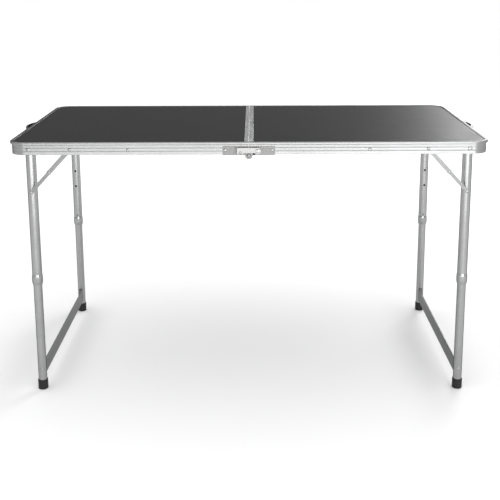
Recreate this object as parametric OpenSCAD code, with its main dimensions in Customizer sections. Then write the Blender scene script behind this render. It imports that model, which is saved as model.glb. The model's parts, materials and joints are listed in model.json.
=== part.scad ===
// Two-leaf folding camp table: two framed leaves hinged at a centre seam, a leg
// frame under each leaf with telescoping tubes, folding braces and a seam catch.
// Millimetres. Origin on the floor under the middle of the top, X along the
// length (left leaf at -X), Y through the depth (front at -Y), Z up.

/* [Overall] */
// Length of the open top over its edge beads
table_l = 1200; // [1040:10:1400]
// Depth of the top over its edge beads
table_w = 600; // [480:10:800]
// Height of the top above the floor with the legs fully out
table_h = 668; // [600:2:700]
// Radius of the four outer corners
corner_r = 42; // [34:1:60]

/* [Edge rail] */
// Height of the edge rail
rail_h = 32; // [31:1:36]
// Wall thickness of the edge rail
rail_wall = 1.6; // [1.4:0.1:2]
// How far the top bead stands out from the rail's wall
lip_out = 4; // [3:0.5:5]
// How far the top bead laps inward over the board
lip_in = 5; // [4:0.5:6]
// Height of the top bead
lip_h = 7; // [6:0.5:8]
// Thickness of the bead where it laps the board
lip_t = 1.2; // [1:0.1:1.4]
// Reach of the inner shelf that carries the board, from the rail's outer face
shelf_w = 8; // [7:0.5:12]
// Thickness of the inner shelf
shelf_t = 1.2; // [1:0.1:1.2]

/* [Top board] */
// Thickness of the board
board_t = 3; // [2.5:0.1:3.1]
// Width of the metal trim on each side of the seam
trim_w = 11; // [9:0.5:14]
// Gap between the two leaves at the seam
seam_gap = 0.5; // [0.4:0.1:1]

/* [Legs] */
// Distance from the end of the top to the leg's fold axis
leg_inset = 52; // [48:1:70]
// Distance from the long edge of the top to the middle of the leg tube
leg_edge = 29; // [28.5:0.5:34]
// Depth of the leg's fold axis below the top
pivot_drop = 18.5; // [18.4:0.1:18.8]
// Outer diameter of the upper leg tube
upper_od = 25; // [24:0.5:25]
// Outer diameter of the lower leg tube
lower_od = 22; // [20:0.5:22]
// Wall thickness of both leg tubes
tube_wall = 1.2; // [1:0.1:1.4]
// Bottom of the collar above the floor
collar_z = 290; // [270:1:300]
// Length of the collar
collar_h = 28; // [24:1:34]
// Height of the snap button in use above the floor
button_z = 323; // [322:1:332]
// First step from the button in use up to the next hole
step_1 = 96; // [60:1:100]
// Second step from that hole up to the last one
step_2 = 48; // [30:1:50]

/* [Feet and crossbar] */
// Outer diameter of the foot cap
foot_od = 26; // [24:0.5:26]
// Height of the foot cap
foot_h = 26; // [20:1:34]
// Height of the crossbar's middle above the floor
crossbar_z = 56; // [50:1:80]
// Height of the crossbar strip
crossbar_h = 38; // [24:1:44]
// Thickness of the crossbar strip
crossbar_t = 3; // [2:0.5:4]

/* [Braces] */
// Distance along the rail from the leg's fold axis to the brace anchor
brace_a = 103; // [90:1:110]
// Distance down the leg from the fold axis to the brace pin
brace_b = 111.5; // [104:0.5:116]
// Width of the upper brace link
upper_link_w = 12; // [10:0.5:13]
// Width of the lower brace link
lower_link_w = 10; // [9:0.5:12]
// Thickness of the brace links
link_t = 1.5; // [1.2:0.1:1.5]

/* [Seam hardware] */
// Half length of the pair of hinge plates
plate_l = 65; // [60:1:80]
// Height of a hinge plate
plate_h = 22.7; // [21:0.1:23]
// Thickness of a hinge plate
plate_t = 1.2; // [1:0.1:1.2]
// Radius of the round hinge ears
ear_r = 9.5; // [8.5:0.1:9.8]

/* [Handles] */
// How far the handle bows out past the edge bead
handle_out = 24; // [20:1:32]
// Length of the bow where it meets the rail
handle_span = 140; // [120:1:160]
// Thickness of the grip
handle_t = 7; // [6:0.5:8]
// Height of the grip
handle_h = 19; // [16:1:20]

/* [Hidden] */
$fn = 64;
// Radial gap of a turning rivet in its hole, and of a snap button in its holes
pin_gap = 0.08;
button_gap = 0.2;
face_gap = 0.1;
// Rail datum planes
wall_out_x = table_l / 2 - lip_out;
wall_out_y = table_w / 2 - lip_out;
wall_in_x = wall_out_x - rail_wall;
wall_in_y = wall_out_y - rail_wall;
board_top = table_h - lip_t;
board_bot = board_top - board_t;
shelf_bot = board_bot - shelf_t;
rail_bot = table_h - rail_h;
board_clear = 0.3;
// Fine grooves along the rail's outer face: depth, half width, drops below the top
groove_d = 0.45;
groove_w = 0.9;
groove_drops = [15, 23];
// Fold axis of a leg and the middle of its tubes
pivot_x = table_l / 2 - leg_inset;
pivot_z = table_h - pivot_drop;
leg_y = table_w / 2 - leg_edge;
upper_r = upper_od / 2;
lower_r = lower_od / 2;
upper_bore = upper_r - tube_wall;
lower_bore = lower_r - tube_wall;
tube_out_y = leg_y + upper_r;
tube_in_y = leg_y - upper_r;
// The upper tube's end is rounded about the fold axis, just inside its own radius
end_round_r = upper_r - 0.1;
collar_wall = 1.2;
collar_lip = 6;
collar_taper = 4;
collar_chamfer = 2;
collar_r = upper_r + collar_wall;
lower_top = button_z + 25;
foot_floor = 4;
foot_chamfer = 2;
// Rivets: shank radii, head radii and head heights
pivot_r = 3;
rivet_r = 2.2;
clip_rivet_r = 2;
small_rivet_r = 2;
big_head_r = 5.5;
head_r = 4.2;
tail_r = 4;
head_t = 1.5;
tail_t = 1.2;
bush_r = 6;
// Brace link layers, measured as distances from the table's middle plane
upper_link_y = wall_in_y - 1.3 - link_t;
lower_link_y = tube_out_y + 1.8;
anchor_x = pivot_x - brace_a;
brace_pin_z = pivot_z - brace_b;
brace_len = sqrt(brace_a * brace_a + brace_b * brace_b);
upper_link_l = (brace_len + brace_b - brace_a) / 2;
lower_link_l = (brace_len - brace_b + brace_a) / 2;
link_dir_x = brace_a / brace_len;
link_dir_z = brace_b / brace_len;
joint_x = anchor_x + upper_link_l * link_dir_x;
joint_z = pivot_z - upper_link_l * link_dir_z;
eye_step = 0.4;
joint_head_r = 3.6;
joint_head_t = 1;
// Storage clip that holds the folded leg tube
clip_x = table_l / 4;
clip_l = 20;
clip_drop = 20;
clip_arm = 1.6;
clip_gap = 0.4;
clip_low = pivot_z - 8.5;
// Snap button and its J-shaped spring
button_r = 3;
button_hole_r = button_r + button_gap;
button_out = 2.5;
leaf_w = 8;
leaf_t = 1;
leaf_off = 8.9;
leaf_bend_r = 5;
leaf_drop = 22;
leaf_rise = 8;
leaf_return = 12;
// Crossbar strip set inboard of the tube axis, with a saddle tab at each end
crossbar_in = 5;
tab_w = 12.5;
tab_in = 3.5;
tab_out = 2;
bar_tail_r = crossbar_in - crossbar_t / 2 - 0.3;
crossbar_x = pivot_x - crossbar_in;
tab_y = leg_y - lower_r - tab_in;
// Hinge axis and the layers of the seam hardware, outward from the rail face
hinge_drop = 34;
hinge_z = table_h - hinge_drop;
ear_gap = 0.2;
layer_1 = wall_out_y;
layer_2 = layer_1 + plate_t + ear_gap;
ear_clear = 0.5;
ear_lift = 0.3;
stop_lift = 3;
stop_drop = 2;
hinge_pin_r = 2.5;
hinge_head_r = 5;
neck_l = 16.5;
joggle_x = ear_r + ear_clear + 0.5;
joggle_w = 4;
neck_h = 9.5;
plate_top = hinge_z + ear_lift + plate_h;
plate_rivet_x = plate_l - 6.5;
plate_rivet_z = table_h - 20.5;
// Seam catch: layer of the hook outside the bead, its pivot and its stud
hook_t = 1.5;
hook_y = table_w / 2 + 0.4;
hook_head_y = hook_y + hook_t + 0.2;
hook_outer_y = hook_head_y + 0.9;
hook_px = 22;
hook_pz = table_h - 22.5;
hook_end_r = 8.5;
hook_top = hook_pz + 8.5;
hook_low = hook_pz - 4.9;
hook_tip_x = -29.5;
hook_tip_low = hook_pz - 8.5;
stud_x = -21;
stud_z = table_h - 26;
stud_r = 2.3;
stud_slot_r = 2.9;
stop_x = -33.2;
stop_w = 1.8;
// Handle bow
handle_sag = handle_out + lip_out;
handle_r = (handle_span * handle_span / 4 + handle_sag * handle_sag) / (2 * handle_sag);
handle_top = table_h - lip_h - 1;
handle_edge = 1.5;
pad_t = 3;
pad_out = 16;
pad_in = 16;
handle_rivet_y = handle_span / 2 + 8;
LEFT = -1;
RIGHT = 1;
FRONT = -1;
BACK = 1;

// Every piece is drawn at +X and +Y, then mirrored to its own side and end.
module on_side(s) {
    mirror([s < 0 ? 1 : 0, 0, 0]) children();
}

module at_end(e) {
    mirror([0, e < 0 ? 1 : 0, 0]) children();
}

module both_ends() {
    for (e = [FRONT, BACK])
        at_end(e) children();
}

// Round pin along Y between two distances from the middle plane
module y_pin(x, z, y0, y1, r) {
    translate([x, y0, z]) rotate([-90, 0, 0]) cylinder(h = y1 - y0, r = r);
}

// Round pin along X
module x_pin(y, z, x0, x1, r) {
    translate([x0, y, z]) rotate([0, 90, 0]) cylinder(h = x1 - x0, r = r);
}

// Low domed rivet head standing on its base
module dome(r, t) {
    rotate_extrude()
        polygon([[0, 0], [r, 0], [r * 0.96, t * 0.4], [r * 0.7, t * 0.85], [r * 0.35, t], [0, t]]);
}

module y_dome(x, z, y, r, t) {
    translate([x, y, z]) rotate([-90, 0, 0]) dome(r, t);
}

// Plate drawn in X and Z, with its thickness along Y
module y_plate(y, t) {
    translate([0, y + t, 0]) rotate([90, 0, 0]) linear_extrude(t) children();
}

// Edge rail section: u outward from the wall's outer face, v up from the top
module rail_section() {
    v_board = -lip_t;
    v_shelf = v_board - board_t;
    grooves = [for (k = [len(groove_drops) - 1 : -1 : 0], j = [-1, 0, 1])
        [j == 0 ? -groove_d : 0, -groove_drops[k] + j * groove_w]];
    polygon(concat(
        [[0, -rail_h]],
        grooves,
        [[0, -lip_h], [lip_out - 1.2, -lip_h], [lip_out, 1.6 - lip_h], [lip_out, -1.8]],
        [[lip_out - 0.6, -0.6], [lip_out - 2, 0], [0.6 - lip_in, 0], [-lip_in, -0.5]],
        [[-lip_in, v_board], [-rail_wall, v_board], [-rail_wall, v_shelf]],
        [[-shelf_w, v_shelf], [-shelf_w, v_shelf - shelf_t]],
        [[-rail_wall, v_shelf - shelf_t], [-rail_wall, -rail_h]]
    ));
}

module rail_corner() {
    translate([table_l / 2 - corner_r, table_w / 2 - corner_r, table_h])
        rotate_extrude(angle = 90, $fn = 96)
            translate([corner_r - lip_out, 0]) rail_section();
}

module rail_long_run() {
    translate([seam_gap / 2, wall_out_y, table_h]) rotate([90, 0, 90])
        linear_extrude(table_l / 2 - corner_r - seam_gap / 2) rail_section();
}

module rail_end_run() {
    run = table_w - 2 * corner_r;
    translate([wall_out_x, run / 2, table_h]) rotate([90, 0, 0])
        linear_extrude(run) rail_section();
}

module rail_holes() {
    reach = rail_wall + 2;
    y_pin(pivot_x, pivot_z, wall_in_y - 1, wall_in_y + reach, pivot_r + face_gap);
    y_pin(anchor_x, pivot_z, wall_in_y - 1, wall_in_y + reach, rivet_r + face_gap);
    y_pin(clip_x, table_h - clip_drop, wall_in_y - 1, wall_in_y + reach, clip_rivet_r + face_gap);
    y_pin(plate_rivet_x, plate_rivet_z, wall_in_y - 1, wall_in_y + reach, rivet_r + face_gap);
}

module edge_rail(s) {
    inner_x = s < 0 ? -stud_x : hook_px;
    inner_z = s < 0 ? stud_z : hook_pz;
    color("silver") on_side(s) difference() {
        union() {
            both_ends() rail_corner();
            both_ends() rail_long_run();
            rail_end_run();
        }
        both_ends() {
            rail_holes();
            y_pin(inner_x, inner_z, wall_in_y - 1, wall_out_y + 1, rivet_r + face_gap);
            x_pin(handle_rivet_y, handle_top - handle_h / 2, wall_in_x - 1, wall_out_x + 1,
                small_rivet_r + face_gap);
        }
    }
}

module top_panel(s) {
    edge_x = wall_in_x - board_clear;
    edge_y = wall_in_y - board_clear;
    r = corner_r - lip_out - rail_wall - board_clear;
    start = seam_gap / 2 + lip_t + 0.05;
    color([0.13, 0.13, 0.13]) on_side(s) translate([0, 0, board_bot])
        linear_extrude(board_t) {
            translate([start, -edge_y]) square([edge_x - r - start, 2 * edge_y]);
            translate([edge_x - r - 1, r - edge_y]) square([r + 1, 2 * (edge_y - r)]);
            for (e = [FRONT, BACK])
                translate([edge_x - r, e * (edge_y - r)]) circle(r, $fn = 96);
        }
}

// Channel trim that closes a leaf's board edge at the seam
module seam_trim(s) {
    x0 = seam_gap / 2;
    full_y = table_w / 2 - lip_out - lip_in - face_gap;
    low_y = wall_out_y - shelf_w - 2 * face_gap;
    flange_t = 1;
    color("lightgray") on_side(s) {
        translate([x0, -full_y, board_top]) cube([trim_w, 2 * full_y, lip_t]);
        translate([x0, -full_y, board_bot]) cube([lip_t, 2 * full_y, board_t + lip_t]);
        translate([x0, -low_y, board_bot - flange_t]) cube([lip_t, 2 * low_y, flange_t + 1]);
        translate([x0, -low_y, board_bot - flange_t]) cube([trim_w - 3, 2 * low_y, flange_t]);
    }
}

module plate_outline() {
    x0 = seam_gap;
    z0 = hinge_z + ear_lift;
    cut = 2;
    polygon([[x0, z0], [plate_l - cut, z0], [plate_l, z0 + cut], [plate_l, plate_top - cut],
        [plate_l - cut, plate_top], [x0, plate_top]]);
}

module plate_holes(s) {
    inner_x = s < 0 ? -stud_x : hook_px;
    inner_z = s < 0 ? stud_z : hook_pz;
    y_pin(plate_rivet_x, plate_rivet_z, layer_1 - 1, layer_1 + plate_t + 1, rivet_r + face_gap);
    y_pin(inner_x, inner_z, layer_1 - 1, layer_1 + plate_t + 1, rivet_r + face_gap);
}

// Left plates: the ear lies in the same layer as the plate; the front one has a stop rib
module hinge_plates_left() {
    color([0.62, 0.63, 0.65]) on_side(LEFT) {
        both_ends() difference() {
            y_plate(layer_1, plate_t) {
                plate_outline();
                translate([0, hinge_z]) circle(ear_r);
                translate([0, hinge_z]) square([neck_l / 2, neck_h]);
            }
            plate_holes(LEFT);
            y_pin(0, hinge_z, layer_1 - 1, layer_1 + plate_t + 1, hinge_pin_r);
        }
        at_end(FRONT) translate([-stop_x - stop_w, layer_1 + plate_t, hinge_z + stop_lift])
            cube([stop_w, hook_y + hook_t - layer_1 - plate_t,
                plate_top - stop_drop - hinge_z - stop_lift]);
    }
}

// Right plates: the ear steps out one layer so that it turns over the left ear
module hinge_plates_right() {
    step = plate_t + ear_gap;
    color([0.62, 0.63, 0.65]) on_side(RIGHT) both_ends() difference() {
        union() {
            y_plate(layer_1, plate_t) difference() {
                plate_outline();
                translate([0, hinge_z]) circle(ear_r + ear_clear);
            }
            y_plate(layer_2, plate_t) {
                translate([0, hinge_z]) circle(ear_r);
                translate([0, hinge_z + ear_lift]) square([neck_l, neck_h - ear_lift]);
            }
            y_plate(layer_1, step + plate_t)
                translate([joggle_x, hinge_z + ear_lift]) square([joggle_w, neck_h - ear_lift]);
        }
        plate_holes(RIGHT);
        y_pin(0, hinge_z, layer_1 - 1, layer_2 + plate_t + 1, hinge_pin_r + pin_gap);
    }
}

module plate_rivet(x, z) {
    y_pin(x, z, wall_in_y - tail_t, layer_1 + plate_t, rivet_r);
    y_pin(x, z, wall_in_y - tail_t, wall_in_y, tail_r);
    y_dome(x, z, layer_1 + plate_t, head_r, head_t);
}

module hinge_rivets(s) {
    inner_x = s < 0 ? -stud_x : hook_px;
    inner_z = s < 0 ? stud_z : hook_pz;
    color("whitesmoke") on_side(s) {
        both_ends() plate_rivet(plate_rivet_x, plate_rivet_z);
        at_end(BACK) plate_rivet(inner_x, inner_z);
    }
}

module hinge_pins() {
    head_y = layer_2 + plate_t + 2 * face_gap;
    color("whitesmoke") both_ends() {
        y_pin(0, hinge_z, layer_1 + face_gap / 2, head_y + 0.5, hinge_pin_r);
        y_dome(0, hinge_z, head_y, hinge_head_r, hook_outer_y - head_y);
    }
}

module hook_outline() {
    difference() {
        union() {
            translate([hook_px, hook_pz]) circle(hook_end_r);
            polygon([
                [hook_px, hook_top], [hook_tip_x + 2, hook_top], [hook_tip_x, hook_top - 2],
                [hook_tip_x, hook_tip_low + 1.5], [hook_tip_x + 1.5, hook_tip_low],
                [stud_x + 6, hook_tip_low], [stud_x + 8, hook_low],
                [hook_px - 6, hook_low], [hook_px, hook_pz - hook_end_r]
            ]);
        }
        translate([hook_px, hook_pz]) circle(rivet_r + pin_gap);
        translate([stud_x, stud_z]) circle(stud_slot_r);
        polygon([
            [stud_x - stud_slot_r, stud_z], [stud_x + stud_slot_r, stud_z],
            [stud_x + stud_slot_r, hook_tip_low - 2], [stud_x - stud_slot_r - 1.8, hook_tip_low - 2]
        ]);
    }
}

// Catch lever: swings on the right leaf and drops over the stud of the left leaf
module latch_hook() {
    color("gainsboro") at_end(FRONT) y_plate(hook_y, hook_t) hook_outline();
}

module latch_stud() {
    color("whitesmoke") at_end(FRONT) {
        y_pin(stud_x, stud_z, wall_in_y - tail_t, wall_in_y, tail_r);
        y_pin(stud_x, stud_z, wall_in_y - tail_t, layer_1 + plate_t, rivet_r);
        y_pin(stud_x, stud_z, layer_1 + plate_t, hook_y - face_gap, tail_r);
        y_pin(stud_x, stud_z, hook_y - face_gap - 1, hook_outer_y, stud_r);
        y_pin(stud_x, stud_z, hook_head_y, hook_outer_y, stud_r + 1);
    }
}

module latch_pivot() {
    color("whitesmoke") at_end(FRONT) {
        y_pin(hook_px, hook_pz, wall_in_y - tail_t, wall_in_y, tail_r);
        y_pin(hook_px, hook_pz, wall_in_y - tail_t, hook_outer_y, rivet_r);
        y_pin(hook_px, hook_pz, layer_1 + plate_t, hook_y - face_gap, bush_r - 1);
        y_pin(hook_px, hook_pz, hook_head_y, hook_outer_y, big_head_r);
    }
}

// Bowed carrying handle with a flat pad at each end
module handle(s) {
    z0 = handle_top - handle_h;
    r_in = handle_r - handle_t;
    cx = wall_out_x + handle_sag - handle_r;
    c = handle_edge;
    half = handle_span / 2;
    color([0.05, 0.05, 0.05]) on_side(s) difference() {
        union() {
            intersection() {
                translate([cx, 0, z0]) rotate([0, 0, -50]) rotate_extrude(angle = 100, $fn = 128)
                    polygon([[r_in + c, 0], [handle_r - c, 0], [handle_r, c], [handle_r, handle_h - c],
                        [handle_r - c, handle_h], [r_in + c, handle_h], [r_in, handle_h - c], [r_in, c]]);
                translate([wall_out_x + pad_t / 2, -half, z0])
                    cube([handle_sag + 1, 2 * half, handle_h]);
            }
            both_ends() translate([wall_out_x, half - pad_in, z0])
                cube([pad_t, pad_in + pad_out, handle_h]);
        }
        both_ends() x_pin(handle_rivet_y, handle_top - handle_h / 2, wall_out_x - 1,
            wall_out_x + pad_t + 1, small_rivet_r + face_gap);
    }
}

module handle_rivets(s) {
    z = handle_top - handle_h / 2;
    color("whitesmoke") on_side(s) both_ends() {
        x_pin(handle_rivet_y, z, wall_in_x - tail_t, wall_out_x + pad_t, small_rivet_r);
        x_pin(handle_rivet_y, z, wall_in_x - tail_t, wall_in_x, tail_r);
        translate([wall_out_x + pad_t, handle_rivet_y, z]) rotate([0, 90, 0]) dome(head_r, head_t);
    }
}

module leg_pivots(s) {
    color("whitesmoke") on_side(s) both_ends() {
        y_pin(pivot_x, pivot_z, tube_in_y - face_gap - tail_t, wall_out_y, pivot_r);
        y_pin(pivot_x, pivot_z, tube_in_y - face_gap - tail_t, tube_in_y - face_gap, tail_r + 0.8);
        y_dome(pivot_x, pivot_z, wall_out_y, big_head_r, head_t);
    }
}

module pivot_bushings(s) {
    color([0.08, 0.08, 0.08]) on_side(s) both_ends() difference() {
        y_pin(pivot_x, pivot_z, tube_out_y + 2 * face_gap, wall_in_y, bush_r);
        y_pin(pivot_x, pivot_z, tube_out_y - 1, wall_in_y + 1, pivot_r);
    }
}

// Brace anchors with a shoulder behind the link, and the storage clips' rivets
module rail_rivets(s) {
    shoulder_y = upper_link_y + link_t + face_gap;
    tail_y = upper_link_y - 2 * face_gap - tail_t;
    color("whitesmoke") on_side(s) both_ends() {
        y_pin(anchor_x, pivot_z, tail_y, wall_out_y, rivet_r);
        y_pin(anchor_x, pivot_z, tail_y, tail_y + tail_t, tail_r);
        y_pin(anchor_x, pivot_z, shoulder_y, wall_in_y, tail_r + 1);
        y_dome(anchor_x, pivot_z, wall_out_y, head_r, head_t);
        y_pin(clip_x, table_h - clip_drop, wall_in_y - 8, wall_out_y, clip_rivet_r);
        y_dome(clip_x, table_h - clip_drop, wall_out_y, head_r, head_t);
    }
}

// Plastic cradle under the leaf that the folded leg tube snaps up into
module storage_clips(s) {
    r = upper_r + clip_gap;
    inner = leg_y - r - clip_arm;
    color([0.08, 0.08, 0.08]) on_side(s) both_ends() difference() {
        translate([clip_x - clip_l / 2, 0, 0]) rotate([90, 0, 90]) linear_extrude(clip_l)
            difference() {
                union() {
                    translate([inner, clip_low]) square([wall_in_y - inner, shelf_bot - face_gap - clip_low]);
                    translate([inner, shelf_bot - 2]) square([wall_out_y - shelf_w - face_gap - inner,
                        board_bot - 2 * face_gap - shelf_bot + 2]);
                }
                translate([leg_y, pivot_z]) circle(r);
                translate([leg_y - r, clip_low - 1]) square([2 * r, pivot_z - clip_low + 1]);
            }
        y_pin(clip_x, table_h - clip_drop, wall_in_y - 8, wall_in_y + 1, clip_rivet_r);
    }
}

// Upper leg tube with its end rounded about the fold axis and holes on the inner side
module upper_leg(s, e) {
    bottom = collar_z + collar_lip;
    color("silver") on_side(s) at_end(e) difference() {
        intersection() {
            translate([pivot_x, leg_y, bottom]) cylinder(h = pivot_z + upper_r - bottom, r = upper_r);
            union() {
                y_pin(pivot_x, pivot_z, tube_in_y - 2, tube_out_y + 2, end_round_r);
                translate([pivot_x - upper_od, leg_y - upper_od, bottom - 1])
                    cube([2 * upper_od, 2 * upper_od, pivot_z - bottom + 1]);
            }
        }
        translate([pivot_x, leg_y, bottom - 1]) cylinder(h = table_h - bottom, r = upper_bore);
        y_pin(pivot_x, pivot_z, tube_in_y - 1, tube_out_y + 1, pivot_r + pin_gap);
        y_pin(pivot_x, brace_pin_z, tube_in_y - 1, tube_out_y + 1, rivet_r + face_gap);
        for (dz = [0, step_1, step_1 + step_2])
            y_pin(pivot_x, button_z + dz, tube_in_y - 1, leg_y, button_hole_r);
    }
}

module collars(s) {
    guide_r = lower_r + 2 * face_gap;
    top = collar_h - collar_chamfer;
    color([0.55, 0.56, 0.58]) on_side(s) both_ends() translate([pivot_x, leg_y, collar_z])
        rotate_extrude()
            polygon([[guide_r, 0], [upper_r - 0.2, 0], [collar_r, collar_taper], [collar_r, top],
                [upper_r + 0.5, collar_h], [upper_r, collar_h], [upper_r, collar_lip],
                [guide_r, collar_lip]]);
}

module brace_pins(s) {
    color("whitesmoke") on_side(s) both_ends() {
        y_pin(pivot_x, brace_pin_z, tube_in_y - tail_t, lower_link_y + link_t + tail_t + 0.2, rivet_r);
        y_pin(pivot_x, brace_pin_z, tube_in_y - tail_t, tube_in_y, tail_r);
        y_pin(pivot_x, brace_pin_z, tube_out_y, lower_link_y - face_gap, tail_r);
        y_pin(pivot_x, brace_pin_z, lower_link_y + link_t + 0.2, lower_link_y + link_t + tail_t + 0.2,
            tail_r);
    }
}

module lower_leg(s, e) {
    color("silver") on_side(s) at_end(e) difference() {
        translate([pivot_x, leg_y, foot_floor]) cylinder(h = lower_top - foot_floor, r = lower_r);
        translate([pivot_x, leg_y, foot_floor - 1]) cylinder(h = lower_top, r = lower_bore);
        y_pin(pivot_x, button_z, leg_y - lower_r - 1, leg_y, button_hole_r);
        y_pin(pivot_x, crossbar_z, leg_y - lower_r - 1, leg_y + lower_r + 1, rivet_r + face_gap);
    }
}

module foot(s, e) {
    r = foot_od / 2;
    color([0.07, 0.07, 0.07]) on_side(s) at_end(e) translate([pivot_x, leg_y, 0])
        rotate_extrude()
            polygon([[0, 0], [r - foot_chamfer, 0], [r, foot_chamfer], [r, foot_h - 1], [r - 0.8, foot_h],
                [lower_r, foot_h], [lower_r, foot_floor], [0, foot_floor]]);
}

// Flat strip between the two lower tubes with a saddle tab riveted to each tube
module crossbar(s) {
    x0 = crossbar_x - crossbar_t / 2;
    z0 = crossbar_z - crossbar_h / 2;
    color("gray") on_side(s) difference() {
        union() {
            translate([x0, -tab_y - 1, z0]) cube([crossbar_t, 2 * tab_y + 2, crossbar_h]);
            both_ends() translate([x0, tab_y, z0]) cube([tab_w, tab_in + tab_out, crossbar_h]);
        }
        both_ends() {
            translate([pivot_x, leg_y, z0 - 1]) cylinder(h = crossbar_h + 2, r = lower_r);
            y_pin(pivot_x, crossbar_z, tab_y - 1, leg_y, rivet_r + face_gap);
        }
    }
}

module crossbar_rivets(s) {
    outer = leg_y + lower_r;
    color("whitesmoke") on_side(s) both_ends() {
        y_pin(pivot_x, crossbar_z, tab_y - tail_t, outer, rivet_r);
        y_pin(pivot_x, crossbar_z, tab_y - tail_t, tab_y, bar_tail_r);
        y_dome(pivot_x, crossbar_z, outer, tail_r, tail_t);
    }
}

// Link from one centre to another, with eyes a little wider than its shank
module link(x0, z0, x1, z1, w) {
    run = sqrt((x1 - x0) * (x1 - x0) + (z1 - z0) * (z1 - z0));
    shank = w - 2 * eye_step;
    translate([x0, z0]) circle(w / 2);
    translate([x1, z1]) circle(w / 2);
    translate([x0, z0]) rotate(atan2(z1 - z0, x1 - x0))
        translate([0, -shank / 2]) square([run, shank]);
}

module brace_upper(s) {
    color([0.72, 0.73, 0.75]) on_side(s) both_ends() difference() {
        y_plate(upper_link_y, link_t) link(anchor_x, pivot_z, joint_x, joint_z, upper_link_w);
        y_pin(anchor_x, pivot_z, upper_link_y - 1, upper_link_y + link_t + 1, rivet_r + pin_gap);
        y_pin(joint_x, joint_z, upper_link_y - 1, upper_link_y + link_t + 1, small_rivet_r);
    }
}

module brace_lower(s) {
    color([0.72, 0.73, 0.75]) on_side(s) both_ends() difference() {
        y_plate(lower_link_y, link_t) link(pivot_x, brace_pin_z, joint_x, joint_z, lower_link_w);
        y_pin(pivot_x, brace_pin_z, lower_link_y - 1, lower_link_y + link_t + 1, rivet_r + pin_gap);
        y_pin(joint_x, joint_z, lower_link_y - 1, lower_link_y + link_t + 1, small_rivet_r);
    }
}

// The rivet at the middle of a brace is split flush where the two links meet
module brace_joints_outer(s) {
    color("whitesmoke") on_side(s) both_ends() {
        y_pin(joint_x, joint_z, upper_link_y, upper_link_y + link_t, small_rivet_r);
        y_dome(joint_x, joint_z, upper_link_y + link_t, joint_head_r, joint_head_t);
    }
}

module brace_joints_inner(s) {
    color("whitesmoke") on_side(s) both_ends() {
        y_pin(joint_x, joint_z, lower_link_y - joint_head_t, lower_link_y + link_t, small_rivet_r);
        y_pin(joint_x, joint_z, lower_link_y - joint_head_t, lower_link_y, joint_head_r);
        y_pin(joint_x, joint_z, lower_link_y + link_t, upper_link_y - face_gap, tail_r);
    }
}

// Spring leaf in Y and Z: a J whose long side carries the button
module leaf_profile() {
    base = button_z - leaf_drop;
    centre = leg_y - leaf_off + leaf_bend_r;
    translate([leg_y - leaf_off, base]) square([leaf_t, leaf_drop + leaf_rise]);
    translate([centre + leaf_bend_r - leaf_t, base]) square([leaf_t, leaf_return]);
    difference() {
        translate([centre, base]) circle(leaf_bend_r);
        translate([centre, base]) circle(leaf_bend_r - leaf_t);
        translate([centre - leaf_bend_r - 1, base]) square([2 * leaf_bend_r + 2, leaf_bend_r + 1]);
    }
}

module snap_clip(s, e) {
    color([0.45, 0.46, 0.48]) on_side(s) at_end(e) {
        translate([pivot_x - leaf_w / 2, 0, 0]) rotate([90, 0, 90]) linear_extrude(leaf_w) leaf_profile();
        y_pin(pivot_x, button_z, tube_in_y - button_out + 1, leg_y - leaf_off + leaf_t / 2, button_r);
        translate([pivot_x, tube_in_y - button_out, button_z]) rotate([-90, 0, 0])
            cylinder(h = 1, r1 = button_r - 0.8, r2 = button_r);
    }
}

top_panel(LEFT);  // top_panel_left
top_panel(RIGHT);  // top_panel_right
edge_rail(LEFT);  // edge_rail_left
edge_rail(RIGHT);  // edge_rail_right
seam_trim(LEFT);  // seam_trim_left
seam_trim(RIGHT);  // seam_trim_right
hinge_plates_left();
hinge_plates_right();
hinge_rivets(LEFT);  // hinge_rivets_left
hinge_rivets(RIGHT);  // hinge_rivets_right
hinge_pins();
latch_hook();
latch_stud();
latch_pivot();
handle(LEFT);  // handle_left
handle(RIGHT);  // handle_right
handle_rivets(LEFT);  // handle_rivets_left
handle_rivets(RIGHT);  // handle_rivets_right
leg_pivots(LEFT);  // leg_pivots_left
leg_pivots(RIGHT);  // leg_pivots_right
pivot_bushings(LEFT);  // pivot_bushings_left
pivot_bushings(RIGHT);  // pivot_bushings_right
rail_rivets(LEFT);  // rail_rivets_left
rail_rivets(RIGHT);  // rail_rivets_right
storage_clips(LEFT);  // storage_clips_left
storage_clips(RIGHT);  // storage_clips_right
upper_leg(LEFT, FRONT);  // upper_leg_left_front
upper_leg(LEFT, BACK);  // upper_leg_left_back
upper_leg(RIGHT, FRONT);  // upper_leg_right_front
upper_leg(RIGHT, BACK);  // upper_leg_right_back
collars(LEFT);  // collars_left
collars(RIGHT);  // collars_right
brace_pins(LEFT);  // brace_pins_left
brace_pins(RIGHT);  // brace_pins_right
lower_leg(LEFT, FRONT);  // lower_leg_left_front
lower_leg(LEFT, BACK);  // lower_leg_left_back
lower_leg(RIGHT, FRONT);  // lower_leg_right_front
lower_leg(RIGHT, BACK);  // lower_leg_right_back
foot(LEFT, FRONT);  // foot_left_front
foot(LEFT, BACK);  // foot_left_back
foot(RIGHT, FRONT);  // foot_right_front
foot(RIGHT, BACK);  // foot_right_back
crossbar(LEFT);  // crossbar_left
crossbar(RIGHT);  // crossbar_right
crossbar_rivets(LEFT);  // crossbar_rivets_left
crossbar_rivets(RIGHT);  // crossbar_rivets_right
brace_upper(LEFT);  // brace_upper_left
brace_upper(RIGHT);  // brace_upper_right
brace_lower(LEFT);  // brace_lower_left
brace_lower(RIGHT);  // brace_lower_right
brace_joints_outer(LEFT);  // brace_joints_outer_left
brace_joints_outer(RIGHT);  // brace_joints_outer_right
brace_joints_inner(LEFT);  // brace_joints_inner_left
brace_joints_inner(RIGHT);  // brace_joints_inner_right
snap_clip(LEFT, FRONT);  // snap_clip_left_front
snap_clip(LEFT, BACK);  // snap_clip_left_back
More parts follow.
